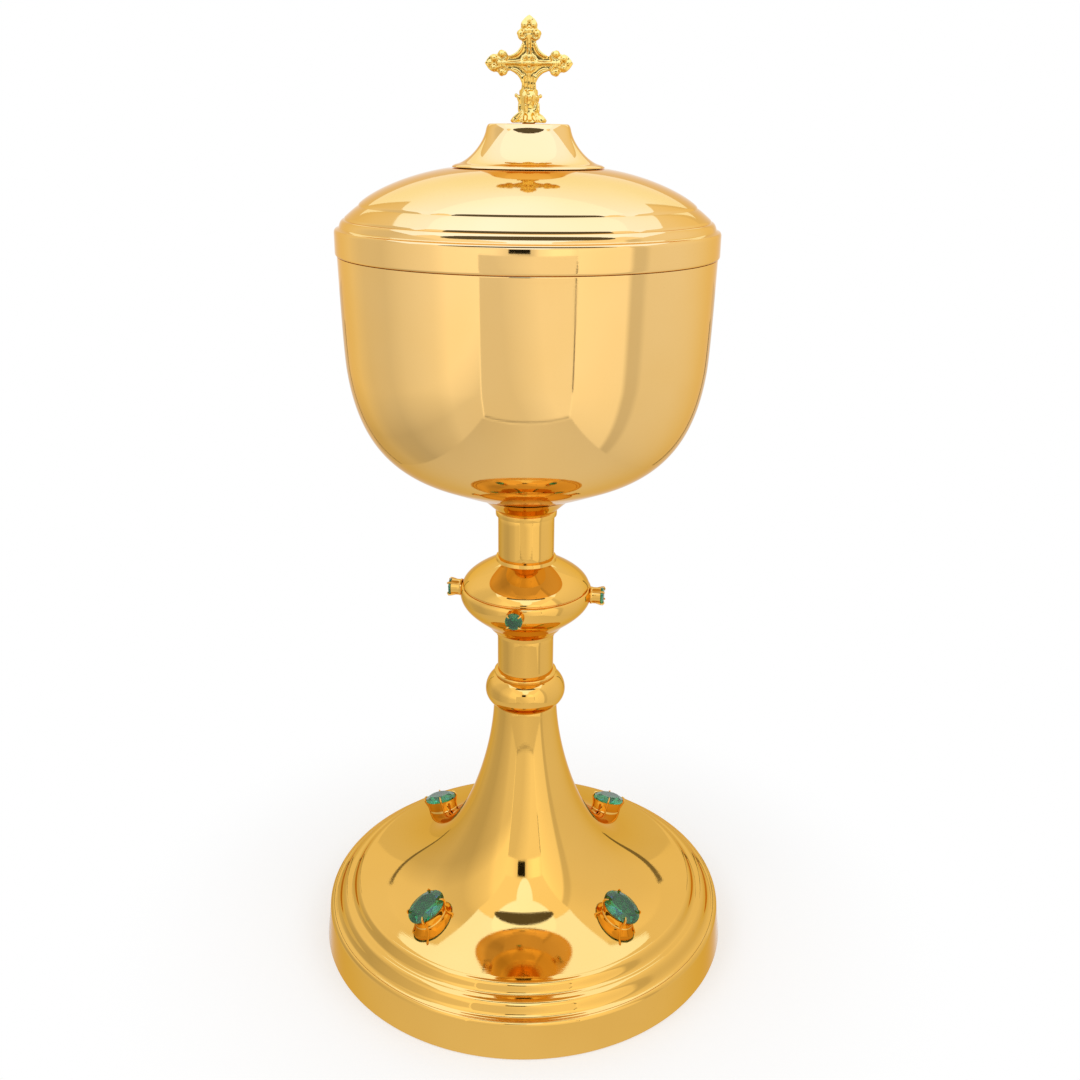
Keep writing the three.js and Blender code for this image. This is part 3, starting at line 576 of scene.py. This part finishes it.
lidBoss = {"low": 290.22, "bead": ((24.5, 0), (24.7, 0.15), (24.35, 0.5), (23.7, 0.85), (23.0, 1.05)),
           "root": (22.65, 291.35), "neck": (13.6, 301.6), "top": (12.4, 303.4), "bore": 2.3, "wall": 1.6,
           "pulls": (0.4, 0.1, 0.9, 0.58), "lipPulls": (0.125, 0.5, 0.5, 1)}


def makeBoss(d):
    face = sweep(d["root"], d["neck"], d["pulls"], 30)
    inside = sweep((d["root"][0] - 2.4, d["low"] + 0.8), (d["top"][0] - 0.6, d["top"][1] - d["wall"]), d["pulls"], 14)
    outline = [(d["root"][0] - d["wall"], d["low"])] + [(radius, d["low"] + rise) for radius, rise in d["bead"]]
    outline += face + sweep(d["neck"], d["top"], d["lipPulls"], 10)[1:]
    outline += [(d["bore"], d["top"][1]), (d["bore"], d["top"][1] - d["wall"])] + inside[::-1]
    return soften(spin(outline, narrow), 0.12, 30)


goldPiece("lidBoss", makeBoss(lidBoss), "lid", "lid_boss")
print("lid made")

# A bar along a path: a disc pushed from point to point, each with its own width
def bar(mesh, path, widths, sides=10, flat=1.0):
    points = [Vector(point) * mm for point in path]
    ahead = (points[1] - points[0]).normalized()
    turn = ahead.to_track_quat("Z", "X")
    places = []
    for index, (point, width) in enumerate(zip(points, widths)):
        following = (points[min(index + 1, len(points) - 1)] - points[max(index - 1, 0)]).normalized()
        turn = ahead.rotation_difference(following) @ turn
        ahead = following
        size = Matrix.Diagonal((width * mm, width * flat * mm, 1, 1))
        places.append(Matrix.Translation(point) @ turn.to_matrix().to_4x4() @ size)
    disc = bmesh.ops.create_circle(mesh, cap_ends=True, segments=sides, radius=1, matrix=places[0])
    face = disc["verts"][0].link_faces[0]
    for before, after in zip(places, places[1:]):
        pushed = bmesh.ops.extrude_face_region(mesh, geom=[face])["geom"]
        if before is not places[0]:  # the face that was pushed on would stay behind inside the bar
            bmesh.ops.delete(mesh, geom=[face], context="FACES_ONLY")
        face = next(item for item in pushed if isinstance(item, bmesh.types.BMFace))
        bmesh.ops.transform(mesh, matrix=after @ before.inverted(), verts=face.verts[:])


def bead(mesh, place, sizes):
    matrix = Matrix.Translation(Vector(place) * mm) @ Matrix.Diagonal((*sizes, 1))
    bmesh.ops.create_uvsphere(mesh, u_segments=14, v_segments=9, radius=mm, matrix=matrix)


def joined(first, second):
    data = bpy.data.meshes.new("working")
    second.to_mesh(data)
    second.free()
    first.from_mesh(data)
    bpy.data.meshes.remove(data)
    return first


# Cross: a casting with budded ends, ribbed arms, a four-petalled diamond and a leafy trunk
castCross = {
    "centre": 321.2, "reach": 13.85, "plate": 2.9, "round": 0.7, "voxel": 0.2, "skin": 0.16, "skinScale": 1.1,
    # half an end, from the crossing's fillet to the point: (across, along)
    "end": ((3.25, 3.25), (2.5, 4.3), (2.15, 5.3), (2.15, 6.3), (2.6, 7.0), (3.4, 7.6), (3.85, 8.5), (3.6, 9.2),
            (2.8, 9.7), (2.5, 10.3), (2.6, 11.0), (2.3, 11.9), (1.5, 12.8)),
    "shaft": ((2.3, -4.6), (2.2, -6.0), (2.6, -9.5)), "low": 303.72,
    "trunk": ((0, 0), (5.6, 0), (4.4, 0.9), (3.3, 2.4), (2.8, 4.2), (2.75, 6.0), (3.1, 7.6), (2.5, 9.4), (0, 10.6)),
}


def crossPlate(d):
    mesh = bmesh.new()
    outline = []
    for quarter in (-90, 0, 90):  # right arm, top, left arm
        half = [Vector(point) for point in d["end"]]
        whole = half + [Vector((0, d["reach"]))] + [Vector((-p.x, p.y)) for p in reversed(half[1:])]
        outline += [p @ Matrix.Rotation(-math.radians(quarter), 2) for p in whole]
    right = [Vector(point) for point in d["shaft"]]
    outline = [*reversed(right), *outline, *(Vector((-p.x, p.y)) for p in right)]
    verts = [mesh.verts.new((p.x * mm, -d["plate"] / 2 * mm, (d["centre"] + p.y) * mm)) for p in outline]
    mesh.faces.new(verts)
    bmesh.ops.remove_doubles(mesh, verts=mesh.verts, dist=1e-6)
    pushed = bmesh.ops.extrude_face_region(mesh, geom=mesh.faces[:])["geom"]
    moved = [item for item in pushed if isinstance(item, bmesh.types.BMVert)]
    bmesh.ops.translate(mesh, verts=moved, vec=(0, d["plate"] * mm, 0))
    bmesh.ops.recalc_face_normals(mesh, faces=mesh.faces)
    return mesh


# Raised work on both faces. Paths are (across, along, out) from the crossing
castRelief = {
    "curl": (6.1, 4.15, 0.1), "curlWidths": (0.35, 0.25),  # centre, radius and out; width and swell
    "edges": ((1.75, 3.4), (1.7, 6.0), (1.95, 9.5)), "edgeWidths": (0.42, 0.46, 0.5),
    "rib": ((0, 2.6), (0, 4.6, 0.15), (0, 6.8, 0.2), (0, 8.2, 0.1)), "ribWidths": (0.75, 0.45, 0.55, 0.9),
    "lobes": ((2.55, 8.45, -0.2, (1.15, 1.25, 1.15)), (1.35, 10.9, -0.25, (1.1, 1.1, 1.1))),
    "loop": (2.1, 7.9, 1.25, 1.5, 0.3), "loopWidth": 0.38, "loopShift": 0.5,  # centre, two radii and out
    "tips": ((0, 9.3, 0), (0, 12.2, -0.5)), "petal": (1.45, 0.25), "petalSize": (0.75, 0.55, 0.7),
    "diamond": (3.0, 2.25), "diamondWidths": (0.3, 0.38, 0.3),
    "beads": ((0, 0.55, 0.6, 0.6), (-3.55, 0.2, 0.42, 0.45)),  # along, out, width, thickness
}


def crossRelief(mesh, d, r):
    centre = d["centre"]
    for face in (-1, 1):
        level = face * d["plate"] / 2
        for quarter in range(4):
            turn = Matrix.Rotation(quarter * math.pi / 2, 3, "Y")

            def at(across, along, out=0.0):
                spot = turn @ Vector((across, 0, along))
                return (spot.x, level + face * out, centre + spot.z)
            # the raised edge round each corner of the crossing, from one arm to the next
            (far, radius, out), (width, swell) = r["curl"], r["curlWidths"]
            curl = [at(far - radius * math.cos(a), far - radius * math.sin(a), out)
                    for a in (math.radians(b) for b in range(2, 90, 8))]
            bar(mesh, curl, [width + swell * math.sin(i / 10 * math.pi) for i in range(11)], 8)
            if quarter == 2:  # the shaft goes on down: two edges, a rib and grooves between
                for side in (-1, 0, 1):
                    bar(mesh, [at(side * x, z) for x, z in r["edges"]], r["edgeWidths"], 8, 1.2)
                continue
            bar(mesh, [at(*spot) for spot in r["rib"]], r["ribWidths"], 8)
            x, z, wideness, tallness, out = r["loop"]
            for side in (-1, 1):  # lobes, with a curl that springs from the neck
                for across, along, lift, sizes in r["lobes"]:
                    bead(mesh, at(side * across, along, lift), sizes)
                loop = [at(side * (x - wideness * math.cos(a)), z - tallness * math.sin(a) + r["loopShift"], out)
                        for a in (math.radians(b) for b in range(-60, 200, 26))]
                bar(mesh, loop, [r["loopWidth"]] * len(loop), 7)
            for tip in r["tips"]:
                bead(mesh, at(*tip), (1.0, 1.0, 1.0))
        # diamond with four petals and a bead in the middle
        (reach, out), (slim, grown, deep), (point, waist) = r["petal"], r["petalSize"], r["diamond"]
        for quarter in range(4):
            a = quarter * math.pi / 2
            spot = (math.sin(a) * reach, level + face * out, centre + math.cos(a) * reach)
            bead(mesh, spot, (slim + grown * abs(math.sin(a)), deep, slim + grown * abs(math.cos(a))))
            corners = ((a, point, 0), (a + math.pi / 4, waist, 0.1), (a + math.pi / 2, point, 0))
            edge = [(math.sin(b) * far, level + face * rise, centre + math.cos(b) * far) for b, far, rise in corners]
            bar(mesh, edge, r["diamondWidths"], 7)
        for along, rise, width, thick in r["beads"]:
            bead(mesh, (0, level + face * rise, centre + along), (width, thick, width))


# Leaves round the trunk: each is a short bar that swells, leans out and ends in a small knob
def trunkLeaves(mesh, d):
    rows = (  # count, first turn, then (radius, height, width) along the leaf
        (9, 12, ((3.1, 2.7, 0.5), (4.0, 1.7, 0.85), (4.9, 0.85, 0.8), (5.75, 0.45, 0.35))),
        (7, 0, ((2.8, 2.4, 0.35), (3.05, 3.6, 0.62), (3.1, 5.0, 0.55), (3.3, 5.9, 0.25))),
        (8, 25, ((2.6, 5.2, 0.35), (3.0, 6.4, 0.6), (3.35, 7.5, 0.62), (3.75, 8.3, 0.35))),
        (5, 50, ((2.3, 7.6, 0.35), (2.6, 8.9, 0.55), (2.75, 9.8, 0.3))),
    )
    for count, first, leaf in rows:
        for index in range(count):
            lean = math.radians(4 * math.sin(index * 2.3 + count))  # no two leaves of a casting sit quite alike
            path = []
            for radius, height, _ in leaf:
                a = math.radians(first + index * 360 / count) + lean * (height - leaf[0][1])
                path.append((radius * math.cos(a), radius * math.sin(a), d["low"] + height))
            bar(mesh, path, [width for _, _, width in leaf], 8, 0.8)
    for side, reach, height in ((-1, 4.0, 8.1), (1, 3.7, 7.9)):
        bead(mesh, (side * reach, -0.6, d["low"] + height), (0.55, 0.6, 0.7))
    for shift in (0, 0.75):  # the folded leaf at the left of the foot
        bar(mesh, [(-5.5 + shift, -1.6, d["low"] + 0.45), (-4.3 + shift, -2.1, d["low"] + 1.8),
                   (-3.0 + shift, -2.2, d["low"] + 3.1)], [0.35, 0.5, 0.3], 8)


def makeCross(d):
    mesh = crossPlate(d)
    crossRelief(mesh, d, castRelief)
    joined(mesh, spin([(radius, d["low"] + height) for radius, height in d["trunk"]], 24, closed=False))
    trunkLeaves(mesh, d)
    mesh = modified(mesh, "REMESH", mode="VOXEL", voxel_size=d["voxel"] * mm)
    for _ in range(2):
        bmesh.ops.smooth_vert(mesh, verts=mesh.verts, factor=0.5, use_axis_x=True, use_axis_y=True, use_axis_z=True)
    skin = bpy.data.textures.new("castSkin", "CLOUDS")
    skin.noise_scale = d["skinScale"] * mm
    mesh = modified(mesh, "DISPLACE", texture=skin, texture_coords="LOCAL", strength=d["skin"] * mm, mid_level=0.6)
    peg = {**crossPeg, "high": d["low"] + 2}
    return joined(mesh, makeRod(peg))


goldPiece("castCross", makeCross(castCross), "lid", "cross", material=castGold, angle=60)
print("cross made")

# Stones: a blank sawn flat, plane by plane, as a cutter does
stoneCut = {"crown": 0.12, "pavilion": 0.32, "table": 0.62, "girdle": 0.3, "mains": 8,
            "starSlope": -9, "upperSlope": 7, "lowerSlope": 4}  # degrees added to the main facets' slopes


def cutStone(diameter, d):
    half, crown, pavilion = diameter / 2, diameter * d["crown"], diameter * d["pavilion"]
    mesh = bmesh.new()
    cylinder(mesh, 96, half, crown + pavilion, Matrix.Translation((0, 0, (crown - pavilion) / 2 * mm)))
    crownSlope = math.atan2(crown - d["girdle"], half * (1 - d["table"]))
    floorSlope = math.atan2(pavilion - d["girdle"], half)
    cuts = []  # turn, slope from flat, side, then the (radius, height) that the plane touches
    for index in range(d["mains"]):
        turn = index * fullTurn / d["mains"]
        part = fullTurn / d["mains"]
        cuts.append((turn, crownSlope, 1, half, d["girdle"]))
        cuts.append((turn + part / 2, crownSlope + math.radians(d["starSlope"]), 1, half * d["table"], crown))
        cuts.append((turn, floorSlope, -1, half, -d["girdle"]))
        for shift in (part / 4, -part / 4):
            cuts.append((turn + shift, crownSlope + math.radians(d["upperSlope"]), 1, half, d["girdle"]))
            cuts.append((turn + shift, floorSlope + math.radians(d["lowerSlope"]), -1, half, -d["girdle"]))
    for turn, slope, side, radius, height in cuts:
        out = Vector((math.cos(turn), math.sin(turn), 0))
        normal = out * math.sin(slope) + Vector((0, 0, side * math.cos(slope)))
        sawn(mesh, (out * radius + Vector((0, 0, height))) * mm, normal, 1e-8)
    bmesh.ops.recalc_face_normals(mesh, faces=mesh.faces)
    return mesh


# Settings: a cup that narrows to its foot, a ring where it is soldered on, and four claws over the stone
footSetting = {"diameter": 15.2, "ratio": 0.76, "height": 5.2, "foot": 0.88, "waist": 0.86, "wall": 0.7,
               "claw": 0.55, "clawReach": 1.25, "place": 49.4, "firstTurn": 45}
knopSetting = {"diameter": 6.1, "ratio": 1, "height": 4, "foot": 0.94, "waist": 0.97, "wall": 0.5,
               "claw": 0.42, "clawReach": 0.75, "drop": 2.9, "firstTurn": -8.5}


def makeSetting(d, stone):
    half = d["diameter"] / 2
    rim = -stone["girdle"] - 0.15
    low = -d["height"] - 0.35
    outline = [(half * d["waist"] - d["wall"], low), (half * d["foot"] + 0.25, low)]
    outline += [(half * d["foot"] + 0.3, low + 0.45), (half * d["foot"] + 0.12, low + 0.8)]
    outline += sweep((half * d["waist"], low + 1.0), (half * 0.985, rim), (0, 0.45, 0.55, 0.9), 10)
    outline += [(half * 0.985 - d["wall"] * 0.8, rim)]
    inner = (half * d["waist"] - d["wall"], low + 1.0)
    outline += sweep((half * 0.9 - d["wall"], rim - 1.0), inner, (0.4, 0.3, 1, 0.6), 6)
    mesh = soften(spin(outline, 64), 0.08, 35)
    top = d["diameter"] * stone["crown"]
    for index in range(4):
        a = math.pi / 4 + index * math.pi / 2
        claw = (  # (radius, height, share of the claw's width)
            (half * d["foot"] + 0.1, low + 0.5, 0.75), (half * 0.9, (low + rim) / 2, 0.8),
            (half + 0.22, rim + 0.1, 0.95), (half + 0.3, 0.35, 1.0),
            (half - 0.15, 0.95 * top * 0.6 + 0.35, 0.85), (half - d["clawReach"], top * 0.95 + 0.12, 0.5),
        )
        path = [(radius * math.cos(a), radius * math.sin(a), height) for radius, height, _ in claw]
        bar(mesh, path, [d["claw"] * share for _, _, share in claw], 10, 0.9)
    bmesh.ops.scale(mesh, vec=(1, d["ratio"], 1), verts=mesh.verts)
    bmesh.ops.recalc_face_normals(mesh, faces=mesh.faces)
    return mesh


def fieldFrame(d):  # the place of a foot setting before it is turned to its quarter
    field = sweep(footShell["innerRoll"], footShell["flare"], footShell["fieldPulls"], 600)
    index = min(range(1, 600), key=lambda i: abs(field[i][0] - d["place"]))
    slope = math.atan2(field[index + 1][1] - field[index - 1][1], field[index - 1][0] - field[index + 1][0])
    lift = Matrix.Translation((field[index][0] * mm, 0, field[index][1] * mm))
    return lift @ Matrix.Rotation(slope, 4, "Y") @ Matrix.Translation((0, 0, d["height"] * mm))


def knopFrame(d):
    out = Matrix.Translation(((knop["radius"] + d["height"]) * mm, 0, (knop["seam"] - d["drop"]) * mm))
    return out @ Matrix.Rotation(math.pi / 2, 4, "Y")


for d, place, who in ((footSetting, fieldFrame(footSetting), "foot"), (knopSetting, knopFrame(knopSetting), "knop")):
    for index in range(4):
        turn = Matrix.Rotation(math.radians(d["firstTurn"] + 90 * index - 90), 4, "Z")
        setting = makeSetting(d, stoneCut)
        bmesh.ops.transform(setting, matrix=turn @ place, verts=setting.verts)
        goldPiece(f"{who}Setting{index + 1}", setting, "stand", f"{who}_gem_setting_{index + 1}", material=warmGold)
        stone = cutStone(d["diameter"], stoneCut)
        bmesh.ops.transform(stone, matrix=turn @ place @ Matrix.Diagonal((1, d["ratio"], 1, 1)), verts=stone.verts)
        finish(f"{who}Stone{index + 1}", stone, "stand", [f"{who}_gem_{index + 1}"], greenStone, 1)
print("stones set")

# Camera: where the photograph was taken from, in millimetres and degrees
view = {"distance": 381.7, "height": 300.9, "pitch": 19.96, "yaw": 0.75, "roll": 0.59, "lens": 37.41}


def makeCamera(d):
    pitch, yaw, roll = (math.radians(d[key]) for key in ("pitch", "yaw", "roll"))
    ahead = Vector((math.sin(yaw) * math.cos(pitch), math.cos(yaw) * math.cos(pitch), -math.sin(pitch)))
    data = bpy.data.cameras.new("view")
    data.lens = d["lens"]
    data.sensor_width = 36
    data.clip_start = 0.01
    camera = linked("view", data)
    camera.rotation_mode = "QUATERNION"
    camera.rotation_quaternion = ahead.to_track_quat("-Z", "Y") @ Quaternion((0, 0, 1), roll)
    camera.location = (0, -d["distance"] * mm, d["height"] * mm)
    bpy.context.scene.camera = camera


makeCamera(view)

# Studio: a small tent of white paper, brightest overhead. Only the polished metal and the stones see its walls
cool = (0.82, 1.05, 1.8, 1)  # tint of the paper that daylight falls on
tent = {
    "half": 0.19, "front": -0.386, "back": 0.215, "height": 0.56, "gain": 1.19,
    # brightness from front to back along the side walls, from left to right along the front, and upwards
    "left": ((-0.386, 1.1), (-0.21, 1.06), (-0.16, 0.92), (-0.08, 0.8), (-0.04, 0.7), (0.02, 0.73), (0.07, 0.84)),
    "leftRise": ((0.0, 0.72), (0.1, 0.74), (0.17, 1.0), (0.3, 1.03)),
    "right": ((-0.386, 1.12), (-0.15, 1.02), (-0.135, 0.68), (-0.11, 0.68), (-0.095, 0.82), (0.2, 0.84)),
    "rightRise": ((0.0, 0.86), (0.1, 0.94), (0.2, 1.0), (0.33, 1.1)),
    "across": ((-0.19, 1.14), (-0.12, 1.1), (-0.08, 0.95), (-0.035, 0.78), (0.005, 0.74), (0.02, 0.85), (0.04, 1.12),
               (0.09, 1.3), (0.15, 1.3), (0.19, 1.12)),
    "flap": (0.365, 0.24), "flapRise": ((0.0, 0.5), (0.004, 0.5), (0.01, 1.0), (0.24, 1.0)),
    "flapAcross": ((-0.17, 0.77), (0.0, 0.77), (0.14, 0.98)), "flapLean": 0.5,
    # dark posts at the back of the side walls: where they stand, their width and height
    "leftPost": (0.206, 0.012), "rightPost": (0.222, 0.02), "postHeight": 0.2, "postLevel": 0.2,
    # sheets of one brightness: name, size, place, turn, level, then a tint if not white, and whether oval
    "sheets": (
        ("flapGap", (0.005, 0.125), (0.183, -0.381, 0.165), (90, 0, 0), 0.05),
        ("roofFront", (0.38, 0.3), (0, -0.235, 0.36), (0, 0, 0), 1.03),
        ("roofTongue", (0.22, 0.24), (0, -0.11, 0.358), (0, 0, 0), 1.4, cool, True),
        ("roofNeck", (0.1, 0.24), (0.003, -0.27, 0.357), (0, 0, 0), 1.4, cool, True),
        ("roofSlot", (0.225, 0.062), (0, -0.1125, 0.341), (25, 0, 0), 0.1, white, True),
        ("roofBack", (0.38, 0.378), (0, 0.0825, 0.4525), (27.6, 0, 0), 1.3, cool),
        ("roofEnd", (0.38, 0.16), (0, 0.25, 0.46), (90, 0, 0), 1.3, cool),
        ("backWall", (0.74, 0.2), (0, 0.368, 0.1), (90, 0, 0), 0.72),
    ),
}


# A flat sheet of glowing paper: size across and up, place, turn in degrees, and one level or a function of
# (x, y, z)
def makeSheet(name, size, place, turn, glow, color=white, oval=False):
    mesh = bmesh.new()
    shape = Matrix.Translation(place) @ Euler([math.radians(a) for a in turn]).to_matrix().to_4x4()
    shape = shape @ Matrix.Diagonal((*size, 1, 1))
    if oval:
        bmesh.ops.create_circle(mesh, cap_ends=True, segments=64, radius=0.5, matrix=shape)
    else:
        bmesh.ops.create_grid(mesh, x_segments=1, y_segments=1, size=0.5, matrix=shape)
    material, tree = newMaterial(name + "Paper")
    level = glow(*tree.parts(tree.make("ShaderNodeTexCoord", out=3))) if callable(glow) else glow
    tree.end(tree.light(level * tent["gain"], color))
    paper = placed(name, mesh, material)
    paper.visible_camera = False
    paper.visible_diffuse = False
    paper.visible_shadow = False


def makeTent(d):
    half, front, back, height = (d[key] for key in ("half", "front", "back", "height"))
    depth, middle = back - front, (back + front) / 2
    for side, name in ((-1, "left"), (1, "right")):
        makeSheet(name + "Wall", (depth, height), (side * half, middle, height / 2), (90, 0, 90),
                  lambda x, y, z: y.along(d[name]) * z.along(d[name + "Rise"]))
        stands, width = d[name + "Post"]
        makeSheet(name + "Post", (width, d["postHeight"]), (side * (half - 0.002), stands, d["postHeight"] / 2),
                  (90, 0, 90), d["postLevel"])
    makeSheet("frontWall", (2 * half, height), (0, front, height / 2), (90, 0, 0), lambda x, y, z: x.along(d["across"]))
    makeSheet("frontFlap", d["flap"], (0, front + 0.004, d["flap"][1] / 2), (90, 0, 0),
              lambda x, y, z: (x + z * d["flapLean"]).along(d["flapAcross"]) * z.along(d["flapRise"]))
    for row in d["sheets"]:
        makeSheet(*row)


whiteRoom = {"diffuse": 0.8}  # full white where the camera, polished metal or a stone looks


def makeWorld(d):
    world = bpy.data.worlds.new("whiteRoom")
    bpy.context.scene.world = world
    tree = Shader(world)
    path = tree.make("ShaderNodeLightPath")
    rays = path.socket.node.outputs
    names = ("Is Camera Ray", "Is Glossy Ray", "Is Transmission Ray")
    seen, glossy, through = (Wire(tree, rays[name]) for name in names)
    shows = (seen + glossy + through).maths("MINIMUM", 1.0)
    back = tree.make("ShaderNodeBackground", {}, Color=white, Strength=d["diffuse"] + (1 - d["diffuse"]) * shows)
    tree.make("ShaderNodeOutputWorld", {}, back)


# Floor: pale paper with the object's soft shadow; polished metal sees it as a glowing sheet, slightly dimmer than
# white, with painted shade that darkens it towards the sides, most to the left
paperFloor = {"half": 0.37, "drop": -0.0002, "glow": 0.45, "color": 0.55, "fadeFrom": 0.085, "fadeTo": 0.175,
              "mirrored": ((-0.3, 0.71), (-0.08, 0.83), (0, 0.9), (0.08, 0.88), (0.3, 0.81))}


def makeFloor(d):
    mesh = bmesh.new()
    place = Matrix.Translation((0, 0, d["drop"]))
    bmesh.ops.create_grid(mesh, x_segments=1, y_segments=1, size=d["half"], matrix=place)
    material, tree = newMaterial("paperFloor")
    x, y, _ = tree.parts(tree.make("ShaderNodeTexCoord", out=3))
    fade = ((x * x + y * y) ** 0.5).step(d["fadeFrom"], d["fadeTo"])
    path = tree.make("ShaderNodeLightPath")
    seen = Wire(tree, path.socket.node.outputs["Is Camera Ray"])
    glossy = Wire(tree, path.socket.node.outputs["Is Glossy Ray"])
    paper = tree.make("ShaderNodeBsdfDiffuse", {}, Color=(d["color"],) * 3 + (1,))
    lit = tree.make("ShaderNodeAddShader", {}, paper, tree.light(d["glow"]))
    top = tree.make("ShaderNodeMixShader", {}, fade * seen, lit, tree.light(1.0))
    # polished metal sees a glow with painted shade in place of the lit paper
    top = tree.make("ShaderNodeMixShader", {}, glossy, top, tree.light(x.along(d["mirrored"])))
    under = tree.make("ShaderNodeBsdfTransparent")
    backSide = tree.make("ShaderNodeNewGeometry", out=6)
    tree.end(tree.make("ShaderNodeMixShader", {}, backSide, top, under))
    placed("floor", mesh, material)


# Lamps: name, place, size and power; both face one point on the axis
softboxes = (("softboxLeft", (-0.5, -0.35, 0.75), 0.5, 1.3), ("softboxRight", (0.5, -0.3, 0.7), 0.5, 0.9))
lampAim = (0, 0, 0.15)


def makeLamp(name, place, size, power):
    data = bpy.data.lights.new(name, "AREA")
    data.shape = "SQUARE"
    data.size = size
    data.energy = power
    lamp = linked(name, data)
    lamp.location = place
    lamp.rotation_mode = "QUATERNION"
    lamp.rotation_quaternion = (Vector(lampAim) - Vector(place)).to_track_quat("-Z", "Y")
    lamp.visible_glossy = False


# The dark camera body that polished metal mirrors; no camera ray meets it
cameraBody = {"color": (0.02, 0.02, 0.02, 1), "size": (0.07, 0.02, 0.075), "place": (-0.027, -0.372, 0.2875)}


def makeCameraBody(d):
    mesh = bmesh.new()
    place = Matrix.Translation(d["place"]) @ Matrix.Diagonal((*d["size"], 1))
    bmesh.ops.create_cube(mesh, size=1, matrix=place)
    material, tree = newMaterial("cameraBlack")
    tree.end(tree.make("ShaderNodeBsdfDiffuse", {}, Color=d["color"]))
    body = placed("cameraBody", mesh, material)
    body.visible_camera = False
    body.visible_shadow = False
    body.visible_diffuse = False
    body.visible_transmission = False


makeWorld(whiteRoom)
makeTent(tent)
makeFloor(paperFloor)
for softbox in softboxes:
    makeLamp(*softbox)
makeCameraBody(cameraBody)
bpy.context.scene.view_settings.view_transform = "Standard"
print("studio and camera made")
